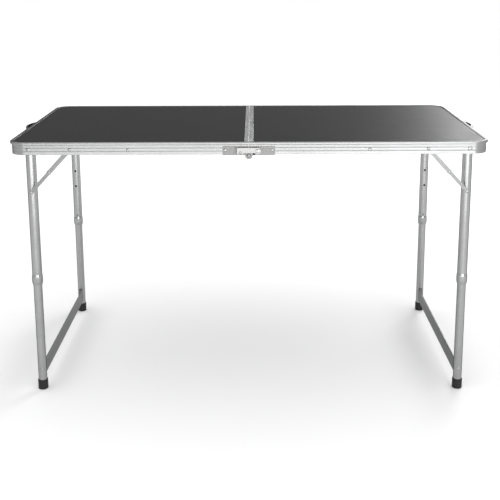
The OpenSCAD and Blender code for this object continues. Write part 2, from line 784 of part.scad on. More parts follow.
snap_clip(RIGHT, FRONT);  // snap_clip_right_front
snap_clip(RIGHT, BACK);  // snap_clip_right_back
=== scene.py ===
"""Looks of a two-leaf folding camp table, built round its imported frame.

Each sub-assembly is a class that holds its detail sizes and builds its pieces from
closed shells. A piece takes the place, the body and the finish of the frame node it
stands for. Pieces are drawn at +X and +Y, then mirrored to their own corner.
"""

import json
import logging
import math
from collections.abc import Callable, Iterable, Sequence
from dataclasses import dataclass
from enum import Enum

import bmesh
import bpy
from mathutils import Euler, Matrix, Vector

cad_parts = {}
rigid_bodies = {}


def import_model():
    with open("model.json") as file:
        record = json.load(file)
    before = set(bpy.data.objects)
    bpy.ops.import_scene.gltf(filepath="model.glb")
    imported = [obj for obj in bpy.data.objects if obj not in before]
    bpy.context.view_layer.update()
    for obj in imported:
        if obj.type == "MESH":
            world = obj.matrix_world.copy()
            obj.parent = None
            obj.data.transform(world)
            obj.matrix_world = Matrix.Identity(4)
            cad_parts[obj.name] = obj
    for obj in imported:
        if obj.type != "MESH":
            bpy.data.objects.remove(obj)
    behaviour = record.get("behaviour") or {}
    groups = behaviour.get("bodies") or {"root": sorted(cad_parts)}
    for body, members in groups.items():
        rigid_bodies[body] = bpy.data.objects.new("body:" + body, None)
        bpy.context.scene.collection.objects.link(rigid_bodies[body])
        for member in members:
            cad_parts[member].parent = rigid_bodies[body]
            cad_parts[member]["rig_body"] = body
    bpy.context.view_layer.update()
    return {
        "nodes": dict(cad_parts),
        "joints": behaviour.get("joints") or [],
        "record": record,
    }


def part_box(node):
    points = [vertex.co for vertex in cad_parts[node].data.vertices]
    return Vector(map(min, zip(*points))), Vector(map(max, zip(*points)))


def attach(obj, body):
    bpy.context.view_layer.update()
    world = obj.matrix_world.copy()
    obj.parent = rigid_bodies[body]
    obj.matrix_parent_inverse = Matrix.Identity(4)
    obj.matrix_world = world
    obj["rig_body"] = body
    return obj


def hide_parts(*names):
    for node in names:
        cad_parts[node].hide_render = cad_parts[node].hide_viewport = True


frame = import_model()
LOG = logging.getLogger("camp_table")
MM = 0.001
FRONT, BACK = -1, 1
SIDES = {"left": -1, "right": 1}
ENDS = {"front": FRONT, "back": BACK}
RAIL_WALL = 1.6 * MM
BEAD_OUT = 4 * MM
SMOOTH_ANGLE = math.radians(38)

Point = tuple[float, float]
Tint = tuple[float, float, float, float]
Colour = Tint | bpy.types.NodeSocket
Rings = list[list[Vector]]
Placer = Callable[[Vector], Vector]


# ---------------------------------------------------------------- shader sheets

class Value:
    """A shader socket that takes part in arithmetic: an expression adds Math nodes."""

    def __init__(self, sheet: "Sheet", socket: bpy.types.NodeSocket) -> None:
        """Keeps the socket and the sheet that it lies on."""
        self.sheet = sheet
        self.socket = socket

    def __add__(self, other: "Value | float") -> "Value":
        """Adds a Math node for self + other."""
        return self.sheet.math("ADD", self, other)

    def __sub__(self, other: "Value | float") -> "Value":
        """Adds a Math node for self - other."""
        return self.sheet.math("SUBTRACT", self, other)

    def __mul__(self, other: "Value | float") -> "Value":
        """Adds a Math node for self * other."""
        return self.sheet.math("MULTIPLY", self, other)

    def __rsub__(self, other: float) -> "Value":
        """Adds a Math node for other - self."""
        return self.sheet.math("SUBTRACT", other, self)

    __radd__ = __add__
    __rmul__ = __mul__


class Sheet:
    """The node tree of one material, with a Principled shader at its end."""

    def __init__(self, name: str) -> None:
        """Makes the material and finds its shader.

        Args:
            name: The material's name.
        """
        self.material = bpy.data.materials.new(name)
        self.material.use_nodes = True
        self.nodes = self.material.node_tree.nodes
        self.links = self.material.node_tree.links
        self.shader = self.nodes["Principled BSDF"]

    def node(self, kind: str, settings: dict, inputs: dict) -> bpy.types.Node:
        """Adds a node.

        Args:
            kind: The node's Blender type.
            settings: Properties of the node, set before its sockets.
            inputs: Socket name or index to a number, a colour, a Value or a socket.

        Returns:
            The new node.
        """
        made = self.nodes.new(kind)
        for key, value in settings.items():
            setattr(made, key, value)
        for key, value in inputs.items():
            self.feed(made.inputs[key], value)
        return made

    def feed(self, socket: bpy.types.NodeSocket, value: object) -> None:
        """Links a Value or a socket to an input, or sets the input's own value."""
        if isinstance(value, Value):
            value = value.socket
        if isinstance(value, bpy.types.NodeSocket):
            self.links.new(value, socket)
        else:
            socket.default_value = value

    def math(self, operation: str, a: object, b: object) -> Value:
        """Adds a Math node.

        Args:
            operation: The Math node's operation.
            a: Its first term.
            b: Its second term.

        Returns:
            The result.
        """
        made = self.node("ShaderNodeMath", {"operation": operation}, {0: a, 1: b})
        return Value(self, made.outputs[0])

    def grain(self, along: float, across: float) -> bpy.types.NodeSocket:
        """Reads a piece's grain coordinates, in metres, and scales them.

        Args:
            along: Scale along the grain.
            across: Scale across the grain.

        Returns:
            The scaled vector.
        """
        read = self.node("ShaderNodeAttribute", {"attribute_name": "grain"}, {})
        scaled = self.node("ShaderNodeVectorMath", {"operation": "MULTIPLY"},
                           {0: read.outputs["Vector"], 1: (along, across, across)})
        return scaled.outputs[0]

    def noise(self, vector: bpy.types.NodeSocket, detail: float = 2.0) -> Value:
        """Fractal noise between 0 and 1 at the vector's own scale."""
        made = self.node("ShaderNodeTexNoise", {}, {"Vector": vector, "Scale": 1.0, "Detail": detail})
        return Value(self, made.outputs["Fac"])

    def cells(self, vector: bpy.types.NodeSocket) -> Value:
        """A random grey for each Voronoi cell.

        Args:
            vector: Where the cells are read, at their own scale.

        Returns:
            The grey, from 0 to 1.
        """
        made = self.node("ShaderNodeTexVoronoi", {}, {"Vector": vector, "Scale": 1.0})
        split = self.node("ShaderNodeSeparateColor", {}, {0: made.outputs["Color"]})
        return Value(self, split.outputs[0])

    def band(self, value: Value, low: float, high: float) -> Value:
        """Stretches the part of a value between low and high to the range 0 to 1.

        Args:
            value: The value.
            low: What becomes 0.
            high: What becomes 1.

        Returns:
            The stretched value, held between 0 and 1.
        """
        settings = {"clamp": True, "interpolation_type": "SMOOTHSTEP"}
        inputs = {"Value": value, "From Min": low, "From Max": high}
        return Value(self, self.node("ShaderNodeMapRange", settings, inputs).outputs[0])

    def blend(self, factor: Value, a: Colour, b: Colour) -> bpy.types.NodeSocket:
        """Mixes two colours.

        Args:
            factor: 0 for the first colour and 1 for the second.
            a: The first colour, or a colour socket.
            b: The second colour, or a colour socket.

        Returns:
            The mixed colour.
        """
        made = self.node("ShaderNodeMix", {"data_type": "RGBA"}, {0: factor, 6: a, 7: b})
        return made.outputs[2]

    def relief(self, height: Value, depth: float, strength: float = 1.0) -> None:
        """Feeds the shader's normal from a height.

        Args:
            height: The height, from 0 to 1.
            depth: What a height of 1 stands for, in metres.
            strength: Share of the effect.
        """
        made = self.node("ShaderNodeBump", {}, {"Height": height, "Distance": depth,
                                                "Strength": strength})
        self.feed(self.shader.inputs["Normal"], made.outputs[0])

    def surface(self, **inputs: object) -> None:
        """Sets or links the shader's sockets, whose spaces are written as underscores."""
        for key, value in inputs.items():
            self.feed(self.shader.inputs[key.replace("_", " ")], value)


def grey(level: float, warmth: float = 0.0) -> Tint:
    """A grey of one linear level, a little warmer or cooler."""
    return (level * (1 + warmth), level, level * (1 - warmth), 1.0)


# --------------------------------------------------------------------- finishes

@dataclass(frozen=True)
class DrawnMetal:
    """Metal with fine lines along its grain, smudges and short handling scratches."""

    name: str
    level: float
    rough: float
    lines: float = 0.10
    edge_tint: float = 0.75
    line_scale: float = 2600.0
    wave: float = 0.2
    smudge: float = 0.16

    def build(self) -> bpy.types.Material:
        """Makes the material.

        Returns:
            The material.
        """
        sheet = Sheet(self.name)
        lines = sheet.noise(sheet.grain(9.0, self.line_scale), 3.0)
        streaks = sheet.noise(sheet.grain(2.5, 420.0), 2.0)
        clouds = sheet.noise(sheet.grain(28.0, 34.0), 4.0)
        scratches = sheet.band(sheet.noise(sheet.grain(700.0, 60.0), 2.0), 0.66, 0.72)
        shade = sheet.band(lines * 0.45 + streaks * 0.35 + clouds * 0.20, 0.36, 0.64)
        low, high = self.level * (1 - self.lines), min(1.0, self.level * (1 + self.lines))
        sheet.surface(
            Base_Color=sheet.blend(shade, grey(low, -0.006), grey(high, -0.004)),
            Metallic=1.0,
            Specular_Tint=grey(self.edge_tint),
            Roughness=self.rough + (clouds - 0.5) * self.smudge + (lines - 0.5) * 0.14 + scratches * 0.10,
        )
        sheet.relief(lines * 0.7 + streaks * self.wave - scratches * 0.5, 0.02 * MM, 0.5)
        return sheet.material


@dataclass(frozen=True)
class ZincPlate:
    """Zinc plated pressing: soft spangle, cloudy sheen and tiny pits."""

    name: str
    level: float
    rough: float

    def build(self) -> bpy.types.Material:
        """Makes the material.

        Returns:
            The material.
        """
        sheet = Sheet(self.name)
        spangle = sheet.cells(sheet.grain(420.0, 420.0))
        clouds = sheet.noise(sheet.grain(150.0, 190.0), 5.0)
        pits = sheet.noise(sheet.grain(2400.0, 2400.0), 2.0)
        shade = sheet.band(spangle * 0.3 + clouds * 0.7, 0.25, 0.75)
        sheet.surface(
            Base_Color=sheet.blend(shade, grey(self.level * 0.82, 0.012), grey(self.level * 1.1)),
            Metallic=1.0,
            Specular_Tint=grey(0.8),
            Roughness=self.rough + (clouds - 0.5) * 0.22 + (spangle - 0.5) * 0.08,
        )
        sheet.relief(pits * 0.6 + clouds * 0.4, 0.05 * MM, 0.5)
        return sheet.material


@dataclass(frozen=True)
class Laminate:
    """Matt black laminate: a fine peel, faint paper cloud and a board that is not quite flat."""

    name: str

    def build(self) -> bpy.types.Material:
        """Makes the material.

        Returns:
            The material.
        """
        sheet = Sheet(self.name)
        peel = sheet.noise(sheet.grain(1500.0, 1500.0), 3.0)
        cloud = sheet.noise(sheet.grain(14.0, 18.0), 5.0)
        sway = sheet.noise(sheet.grain(5.0, 6.0), 1.0)
        dust = sheet.band(sheet.noise(sheet.grain(5200.0, 5200.0), 1.0), 0.70, 0.80)
        shade = sheet.band(cloud * 0.75 + peel * 0.25, 0.3, 0.7)
        body = sheet.blend(shade, grey(0.010, -0.01), grey(0.015, -0.01))
        sheet.surface(
            Base_Color=sheet.blend(dust * 0.22, body, grey(0.08)),
            Roughness=0.50 + (peel - 0.5) * 0.12 + (cloud - 0.5) * 0.10,
            Specular_IOR_Level=0.11,
        )
        sheet.relief(peel * 0.05 + sway, 0.9 * MM, 0.5)
        return sheet.material


@dataclass(frozen=True)
class Moulded:
    """Black moulded plastic or rubber: eggshell texture, flow clouds and a trace of dust."""

    name: str
    level: float
    rough: float
    pebble: float = 1400.0

    def build(self) -> bpy.types.Material:
        """Makes the material.

        Returns:
            The material.
        """
        sheet = Sheet(self.name)
        pebble = sheet.noise(sheet.grain(self.pebble, self.pebble), 3.0)
        cloud = sheet.noise(sheet.grain(60.0, 60.0), 4.0)
        dust = sheet.band(cloud * 0.6 + pebble * 0.4, 0.52, 0.72)
        sheet.surface(
            Base_Color=sheet.blend(dust * 0.5, grey(self.level), grey(self.level * 2.2, 0.02)),
            Roughness=self.rough + (cloud - 0.5) * 0.16 + (pebble - 0.5) * 0.10,
        )
        sheet.relief(pebble, 0.08 * MM, 0.6)
        return sheet.material


FINISHES: dict[str, DrawnMetal | ZincPlate | Laminate | Moulded] = {
    "board": Laminate("black_laminate"),
    "rail": DrawnMetal("rail_extrusion", 0.33, 0.33, edge_tint=0.3),
    "trim": DrawnMetal("seam_extrusion", 0.62, 0.36),
    "tube": DrawnMetal("leg_tube", 0.36, 0.25, edge_tint=0.0, wave=0.0, smudge=0.07),
    "collar": DrawnMetal("leg_ferrule", 0.35, 0.25, edge_tint=0.0, wave=0.0, smudge=0.07),
    "strip": DrawnMetal("crossbar_strip", 0.19, 0.42, lines=0.14),
    "plate": ZincPlate("hinge_plate", 0.24, 0.42),
    "catch": ZincPlate("catch_plate", 0.34, 0.33),
    "link": DrawnMetal("brace_link", 0.24, 0.36, lines=0.12),
    "spring": DrawnMetal("spring_leaf", 0.30, 0.34),
    "rivet": DrawnMetal("rivet_head", 0.36, 0.28, lines=0.05, line_scale=1500.0),
    "black_plastic": Moulded("handle_plastic", 0.007, 0.44),
    "foot": Moulded("foot_rubber", 0.004, 0.62, pebble=900.0),
}


# ----------------------------------------------------------------------- shapes

class Axes(Enum):
    """Which axes of the table a shape's own three run along: its grain first, its depth last."""

    ALONG_X = (0, 1, 2)
    ALONG_Y = (1, 0, 2)
    ALONG_Z = (2, 0, 1)
    FACE_XZ = (0, 2, 1)
    FACE_YZ = (1, 2, 0)


def laid(axes: Axes, origin: Sequence[float] = (0, 0, 0)) -> Placer:
    """Makes the function that carries a shape's own points into the table's frame.

    Args:
        axes: How the shape lies.
        origin: Where the shape's own origin goes.

    Returns:
        The placing function.
    """
    def place(spot: Vector) -> Vector:
        """Places one point of the shape."""
        out = Vector(origin)
        for axis, value in zip(axes.value, spot):
            out[axis] += value
        return out
    return place


def arc(centre: Point, radius: float, start: float, stop: float, steps: int) -> list[Point]:
    """Points on an arc, both ends included.

    Args:
        centre: The arc's centre.
        radius: Its radius.
        start: First angle in degrees.
        stop: Last angle in degrees.
        steps: Number of chords.

    Returns:
        The points, in order.
    """
    angles = (math.radians(start + (stop - start) * k / steps) for k in range(steps + 1))
    return [(centre[0] + radius * math.cos(a), centre[1] + radius * math.sin(a)) for a in angles]


def cut_box(low: Point, high: Point, cut: float, steps: int = 3) -> list[Point]:
    """Outline of a rectangle with round corners.

    Args:
        low: Its lowest corner.
        high: Its highest corner.
        cut: Radius of the corners.
        steps: Chords in each corner.

    Returns:
        The outline, counterclockwise.
    """
    outline = []
    for turn, (x, y) in enumerate([high, (low[0], high[1]), low, (high[0], low[1])]):
        middle = (x - cut if x == high[0] else x + cut, y - cut if y == high[1] else y + cut)
        outline += arc(middle, cut, 90 * turn, 90 * turn + 90, steps)
    return outline


def inset(outline: Sequence[Point], by: float) -> list[Point]:
    """Moves a counterclockwise outline inwards.

    Args:
        outline: The outline.
        by: How far each side moves.

    Returns:
        The new outline, point for point.
    """
    moved = []
    for k, here in enumerate(outline):
        spot = Vector(here)
        before = (spot - Vector(outline[k - 1])).normalized()
        after = (Vector(outline[(k + 1) % len(outline)]) - spot).normalized()
        inward = Vector((-before.y - after.y, before.x + after.x)) / 2
        size = max(inward.length_squared, 0.25)
        moved.append(tuple(spot + inward * by / size))
    return moved


def slab(outline: Sequence[Point], low: float, high: float, ease: float, steps: int = 3) -> Rings:
    """An outline given a thickness, with rounded edges.

    Args:
        outline: The outline, counterclockwise.
        low: Where the slab starts.
        high: Where it ends.
        ease: Radius of its edges.
        steps: Chords in each rounded edge.

    Returns:
        The slab's rings.
    """
    turns = [math.pi / 2 * k / steps for k in range(steps + 1)]
    lower = [(low + ease * (1 - math.cos(turn)), ease * (1 - math.sin(turn))) for turn in turns]
    upper = [(high - (depth - low), shrink) for depth, shrink in reversed(lower)]
    rings = []
    for depth, shrink in lower + upper:
        rings.append([Vector((a, b, depth)) for a, b in inset(outline, shrink)])
    return rings


def drawn(section: Sequence[Point], stops: Iterable[float], ease: float = 0.2 * MM) -> Rings:
    """A section drawn along its path, its two ends eased.

    Args:
        section: The section, counterclockwise.
        stops: Distances along the path at which the section stands.
        ease: Chamfer of the ends.

    Returns:
        The rings.
    """
    stops = list(stops)
    small = inset(section, ease)
    plan = [(stops[0], small), (stops[0] + ease, section)]
    plan += [(s, section) for s in stops[1:-1]]
    plan += [(stops[-1] - ease, section), (stops[-1], small)]
    return [[Vector((s, u, v)) for u, v in outline] for s, outline in plan]


def turned(profile: Iterable[Point], sides: int = 40) -> Rings:
    """A profile of (height, radius) points turned about its axis.

    Args:
        profile: The profile, in order.
        sides: Number of facets round the axis.

    Returns:
        The rings.
    """
    turns = [2 * math.pi * k / sides for k in range(sides)]
    return [[Vector((h, r * math.cos(a), r * math.sin(a))) for a in turns] for h, r in profile]


class Shell:
    """A mesh under construction, each of whose points knows its place along the grain."""

    STRIDE = (0.37, 0.11, 0.05)  # metres between neighbouring shells in the grain's own space
    WELD = 1e-7

    def __init__(self) -> None:
        """Starts an empty mesh."""
        self.mesh = bmesh.new()
        self.grain = self.mesh.verts.layers.float_vector.new("grain")
        self.count = 0

    def loft(self, rings: Rings, place: Placer, signs: Point, looped: bool = False) -> "Shell":
        """Joins rings of points into one closed shell.

        Args:
            rings: The rings, each with as many points.
            place: Carries a shape's own point into the table's frame.
            signs: Signs of X and Y that mirror the shell to its corner.
            looped: True if the last ring joins the first, as in a tube with a wall.

        Returns:
            This shell, for chaining.
        """
        self.count += 1
        ahead, aside, apart = self.STRIDE
        offset = Vector((ahead * self.count * signs[0], aside * self.count, apart * signs[1]))
        rows = []
        for ring in rings:
            row = []
            for spot in ring:
                at = place(spot)
                vert = self.mesh.verts.new((at.x * signs[0], at.y * signs[1], at.z))
                vert[self.grain] = spot + offset
                row.append(vert)
            rows.append(row)
        for low, high in zip(rows, rows[1:] + rows[:1] if looped else rows[1:]):
            for k in range(len(low)):
                self.mesh.faces.new((low[k - 1], low[k], high[k], high[k - 1]))
        if not looped:
            self.mesh.faces.new(rows[0])
            self.mesh.faces.new(rows[-1][::-1])
        return self

    def finish(self, name: str) -> bpy.types.Object:
        """Closes the mesh and makes its object.

        Args:
            name: The object's name.

        Returns:
            The object, linked to the scene.
        """
        bmesh.ops.remove_doubles(self.mesh, verts=self.mesh.verts, dist=self.WELD)
        bmesh.ops.recalc_face_normals(self.mesh, faces=self.mesh.faces)
        mesh = bpy.data.meshes.new(name)
        self.mesh.to_mesh(mesh)
        self.mesh.free()
        made = bpy.data.objects.new(name, mesh)
        bpy.context.scene.collection.objects.link(made)
        return made


def dome(base: float, radius: float, rise: float, steps: int = 6) -> list[Point]:
    """Profile of a domed head, from the edge of its flange to its crown.

    Args:
        base: Where the head starts along its axis.
        radius: Radius of the head.
        rise: Height of the head.
        steps: Chords of the dome.

    Returns:
        The profile's points.
    """
    flange = 0.18 * rise
    angles = (math.pi / 2 * k / steps for k in range(steps + 1))
    crown = [(base + flange + (rise - flange) * math.sin(a), radius * math.cos(a)) for a in angles]
    return [(base, radius * 0.97), *crown]


def rolled(base: float, radius: float, rise: float) -> list[Point]:
    """Profile of a tail rolled over like a ring, from its hollow middle to its edge.

    Args:
        base: The outermost end of the tail along its axis.
        radius: Radius of the tail.
        rise: Height of the tail.

    Returns:
        The profile's points.
    """
    return [(base + 0.6 * rise, 0.0), (base + 0.5 * rise, radius * 0.4),
            (base + 0.12 * rise, radius * 0.58), (base, radius * 0.74),
            (base + 0.1 * rise, radius * 0.9), (base + 0.4 * rise, radius), (base + rise, radius)]


@dataclass(frozen=True)
class Rivet:
    """A rivet through several layers, with a rolled tail and a domed head."""

    shank: float
    tail: float
    tail_rise: float
    head: float
    head_rise: float

    def profile(self, start: float, stop: float) -> list[Point]:
        """The rivet's profile.

        Args:
            start: Outermost end of the tail.
            stop: Crown of the head.

        Returns:
            The profile, from the tail to the crown.
        """
        base = stop - self.head_rise
        return [*rolled(start, self.tail, self.tail_rise), (start + self.tail_rise, self.shank),
                (base, self.shank), *dome(base, self.head, self.head_rise)]


class Workshop:
    """Hands finished pieces to the frame: name, finish, body and the node they stand for."""

    SIDE_WORDS = ("left", "right", "front", "back")

    def __init__(self) -> None:
        """Builds the finishes and reads which slot each node has."""
        self.materials = {slot: finish.build() for slot, finish in FINISHES.items()}
        self.slots = {row["node"]: row["material_slot"] for row in frame["record"]["subparts"]}

    def name(self, node: str) -> str:
        """The piece's name: the words for its place come first.

        Args:
            node: The node that the piece stands for.

        Returns:
            The name.
        """
        words = node.split("_")
        places = [w for w in words if w in self.SIDE_WORDS] or ["seam"]
        return "_".join(places + [w for w in words if w not in self.SIDE_WORDS])

    def mount(self, node: str, shell: Shell, holes: Sequence[Shell] = ()) -> bpy.types.Object:
        """Turns a shell into the piece that stands for a node.

        Args:
            node: The frame's node.
            shell: The piece's shell.
            holes: Shells cut out of it.

        Returns:
            The finished piece.
        """
        piece = shell.finish(self.name(node))
        for k, hole in enumerate(holes):
            self.cut(piece, hole.finish(f"{piece.name}_cutter_{k}"))
        piece.data.shade_smooth()
        piece.data.set_sharp_from_angle(angle=SMOOTH_ANGLE)
        piece.modifiers.new("even_normals", "WEIGHTED_NORMAL").keep_sharp = True
        slot = self.slots[node]
        piece.data.materials.append(self.materials[slot])
        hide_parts(node)
        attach(piece, frame["nodes"][node]["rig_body"])
        LOG.info("%s: %d faces, %s", piece.name, len(piece.data.polygons), slot)
        return piece

    @staticmethod
    def cut(piece: bpy.types.Object, cutter: bpy.types.Object) -> None:
        """Cuts one object out of another and removes the cutter.

        Args:
            piece: The object that keeps its place.
            cutter: The object that is cut out of it.
        """
        tool = piece.modifiers.new("cut", "BOOLEAN")
        tool.operation = "DIFFERENCE"
        tool.solver = "EXACT"
        tool.object = cutter
        depsgraph = bpy.context.evaluated_depsgraph_get()
        mesh = bpy.data.meshes.new_from_object(piece.evaluated_get(depsgraph))
        piece.modifiers.clear()
        piece.data = mesh
        bpy.data.objects.remove(cutter)


def joint_place(name: str) -> Vector:
    """Where a hinge's axis passes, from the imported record."""
    return Vector(next(j["pos_m"] for j in frame["joints"] if j["name"] == name))


def both_ends(sign: int, place: Placer, *solids: Rings, looped: bool = False) -> Shell:
    """Lofts the same shells at the front and at the back of one leaf.

    Args:
        sign: Sign of X that puts them on their own leaf.
        place: Carries a shape's own point into the table's frame.
        solids: The rings of each shell.
        looped: True if each shell's last ring joins its first.

    Returns:
        A new shell that holds them all.
    """
    shell = Shell()
    for end in ENDS.values():
        for rings in solids:
            shell.loft(rings, place, (sign, end), looped)
    return shell


# ------------------------------------------------------------------- the leaves

@dataclass
class Leaf:
    """One half of the top: its edge rail, board, seam trim and storage clips."""

    shop: Workshop
    side: str
    wall: float = RAIL_WALL
    bead_out: float = BEAD_OUT
    bead_in: float = 5 * MM
    bead_h: float = 7 * MM
    bead_lap: float = 1.2 * MM
    ledge: float = 8 * MM
    ledge_t: float = 1.2 * MM
    corner: float = 42 * MM
    groove: float = 0.45 * MM
    groove_half: float = 0.9 * MM
    groove_drops: tuple[float, ...] = (23 * MM, 15 * MM)
    trim_ribs: tuple[float, ...] = (8.7 * MM, 6.1 * MM, 3.5 * MM)
    corner_steps: int = 18

    def __post_init__(self) -> None:
        """Reads the leaf's own box from the frame, always as if it lay at +X."""
        self.sign = SIDES[self.side]
        low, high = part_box("edge_rail_right")
        self.seam, self.end, self.depth = low.x, high.x, high.y
        self.bottom, self.top = low.z, high.z
        self.board_low, self.board_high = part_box("top_panel_right")

    def rail_section(self) -> list[Point]:
        """The rail's section: u outward from the wall's face, v up from the top.

        Returns:
            The outline, counterclockwise as seen along the path.
        """
        height = self.top - self.bottom
        board_v = -self.bead_lap
        shelf_v = board_v - (self.board_high.z - self.board_low.z)
        hem = 0.5 * MM
        points = [(-self.wall, -height + hem), (-self.wall + hem, -height), (-hem, -height)]
        points.append((0.0, -height + hem))
        for drop in self.groove_drops:
            for share in (-1.0, -0.55, 0.0, 0.55, 1.0):
                sink = self.groove * (math.cos(share * math.pi) + 1) / 2
                points.append((-sink, -drop + share * self.groove_half))
        points += arc((0.7 * MM, -self.bead_h - 0.7 * MM), 0.7 * MM, 180, 90, 4)
        points += arc((self.bead_out - 1.7 * MM, -self.bead_h + 1.7 * MM), 1.7 * MM, -90, 0, 5)
        points += arc((self.bead_out - 2.2 * MM, -2.2 * MM), 2.2 * MM, 0, 90, 8)
        points += [(0.0, -0.02 * MM), (-2.4 * MM, -0.12 * MM)]
        points += arc((-self.bead_in + 0.7 * MM, -0.95 * MM), 0.7 * MM, 100, 180, 4)
        points += [(-self.bead_in, board_v), (-self.wall, board_v), (-self.wall, shelf_v)]
        points += arc((-self.ledge + 0.4 * MM, shelf_v - 0.4 * MM), 0.4 * MM, 90, 180, 3)
        points += arc((-self.ledge + 0.4 * MM, shelf_v - self.ledge_t + 0.4 * MM), 0.4 * MM, 180, 270, 3)
        points += arc((-self.wall - 0.8 * MM, shelf_v - self.ledge_t - 0.8 * MM), 0.8 * MM, 90, 0, 4)
        return points

    def rail_path(self, spot: Vector) -> Vector:
        """Places a point of the rail: (distance from the front seam end, u, v).

        Args:
            spot: The point in the rail's own coordinates.

        Returns:
            The point in the table's frame.
        """
        run = self.end - self.corner - self.seam
        side_run = 2 * (self.depth - self.corner)
        bend = self.corner * math.pi / 2
        s, u, v = spot
        middle_x, middle_y = self.end - self.corner, self.depth - self.corner
        radius = self.corner - self.bead_out + u
        z = self.top + v
        if s <= run:
            return Vector((self.seam + s, -middle_y - radius, z))
        s -= run
        if s <= bend:
            a = s / self.corner - math.pi / 2
            return Vector((middle_x + radius * math.cos(a), -middle_y + radius * math.sin(a), z))
        s -= bend
        if s <= side_run:
            return Vector((middle_x + radius, -middle_y + s, z))
        s -= side_run
        if s <= bend:
            a = s / self.corner
            return Vector((middle_x + radius * math.cos(a), middle_y + radius * math.sin(a), z))
        return Vector((middle_x - (s - bend), middle_y + radius, z))

    def rail(self) -> None:
        """Draws the edge rail along its path, from the front of the seam round to its back."""
        run = self.end - self.corner - self.seam
        side_run = 2 * (self.depth - self.corner)
        bend = self.corner * math.pi / 2
        stops = [0.0, run / 2]
        for start in (run, run + bend + side_run):
            stops += [start + bend * k / self.corner_steps for k in range(self.corner_steps + 1)]
        stops += [1.5 * run + 2 * bend + side_run, 2 * (run + bend) + side_run]
        rings = drawn(self.rail_section(), stops, 0.15 * MM)
        self.shop.mount(f"edge_rail_{self.side}", Shell().loft(rings, self.rail_path, (self.sign, 1)))

    def board(self) -> None:
        """Lays the laminated board under the rail's bead."""
        low, high = self.board_low, self.board_high
        radius = self.corner - self.bead_out - self.wall - 0.3 * MM
        outline = [(low.x, low.y)]
        outline += arc((high.x - radius, low.y + radius), radius, -90, 0, self.corner_steps)
        outline += arc((high.x - radius, high.y - radius), radius, 0, 90, self.corner_steps)
        outline.append((low.x, high.y))
        rings = slab(outline, low.z, high.z, 0.2 * MM, 2)
        shell = Shell().loft(rings, laid(Axes.ALONG_X), (self.sign, 1))
        self.shop.mount(f"top_panel_{self.side}", shell)

    def trim(self) -> None:
        """Draws the ribbed channel that closes the board's edge at the seam."""
        low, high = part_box("seam_trim_right")
        lap, flange = self.bead_lap, 1.0 * MM
        reach = self.depth - self.bead_out - self.ledge - 0.2 * MM
        cap = [(low.x, self.board_low.z), (low.x + lap, self.board_low.z), (low.x + lap, high.z - lap)]
        cap += [(high.x, high.z - lap)]
        cap += arc((high.x - 0.5 * MM, high.z - 0.5 * MM), 0.5 * MM, 0, 90, 4)
        for rib in self.trim_ribs:
            cap += [(rib + 0.5 * MM, high.z), (rib, high.z - 0.35 * MM), (rib - 0.5 * MM, high.z)]
        cap += arc((low.x + 0.7 * MM, high.z - 0.7 * MM), 0.7 * MM, 90, 180, 4)
        foot = cut_box((low.x, low.z), (low.x + 8 * MM, low.z + flange), 0.3 * MM)
        web = [(low.x, low.z + 0.3 * MM), (low.x + lap, low.z + 0.3 * MM)]
        web += [(low.x + lap, self.board_low.z + 0.3 * MM), (low.x, self.board_low.z + 0.3 * MM)]
        shell = Shell()
        for section, half in ((cap, high.y), (foot, reach), (web, reach - 0.1 * MM)):
            rings = drawn(section, (-half, 0.0, half), 0.12 * MM)
            shell.loft(rings, laid(Axes.ALONG_Y), (self.sign, 1))
        self.shop.mount(f"seam_trim_{self.side}", shell)

    def clips(self) -> None:
        """Moulds the cradles under the board that hold a folded leg tube."""
        low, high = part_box("storage_clips_right")
        pivot = joint_place("leg_fold_right")
        tube_low, tube_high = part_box("upper_leg_right_back")
        tube_y = (tube_low.y + tube_high.y) / 2
        radius = (tube_high.y - tube_low.y) / 2 + 0.4 * MM
        back = self.depth - self.bead_out - self.wall
        shoulder = self.board_low.z - self.ledge_t - 0.1 * MM
        inner = tube_y - radius - 1.6 * MM
        step = self.depth - self.bead_out - self.ledge - 0.1 * MM
        outline = [(back, low.z), (back, shoulder), (step, shoulder), (step, high.z), (inner, high.z)]
        outline += [(inner, low.z + 0.8 * MM), (inner + 0.8 * MM, low.z), (tube_y - radius, low.z)]
        outline += arc((tube_y, pivot.z), radius, 180, 0, 20)
        outline += [(tube_y + radius, low.z)]
        rings = slab(outline, low.x, high.x, 0.5 * MM)
        shell = both_ends(self.sign, laid(Axes.FACE_YZ), rings)
        self.shop.mount(f"storage_clips_{self.side}", shell)

    def build(self) -> None:
        """Builds the whole leaf."""
        self.rail()
        self.board()
        self.trim()
        self.clips()


# ------------------------------------------------------------ hardware on rails

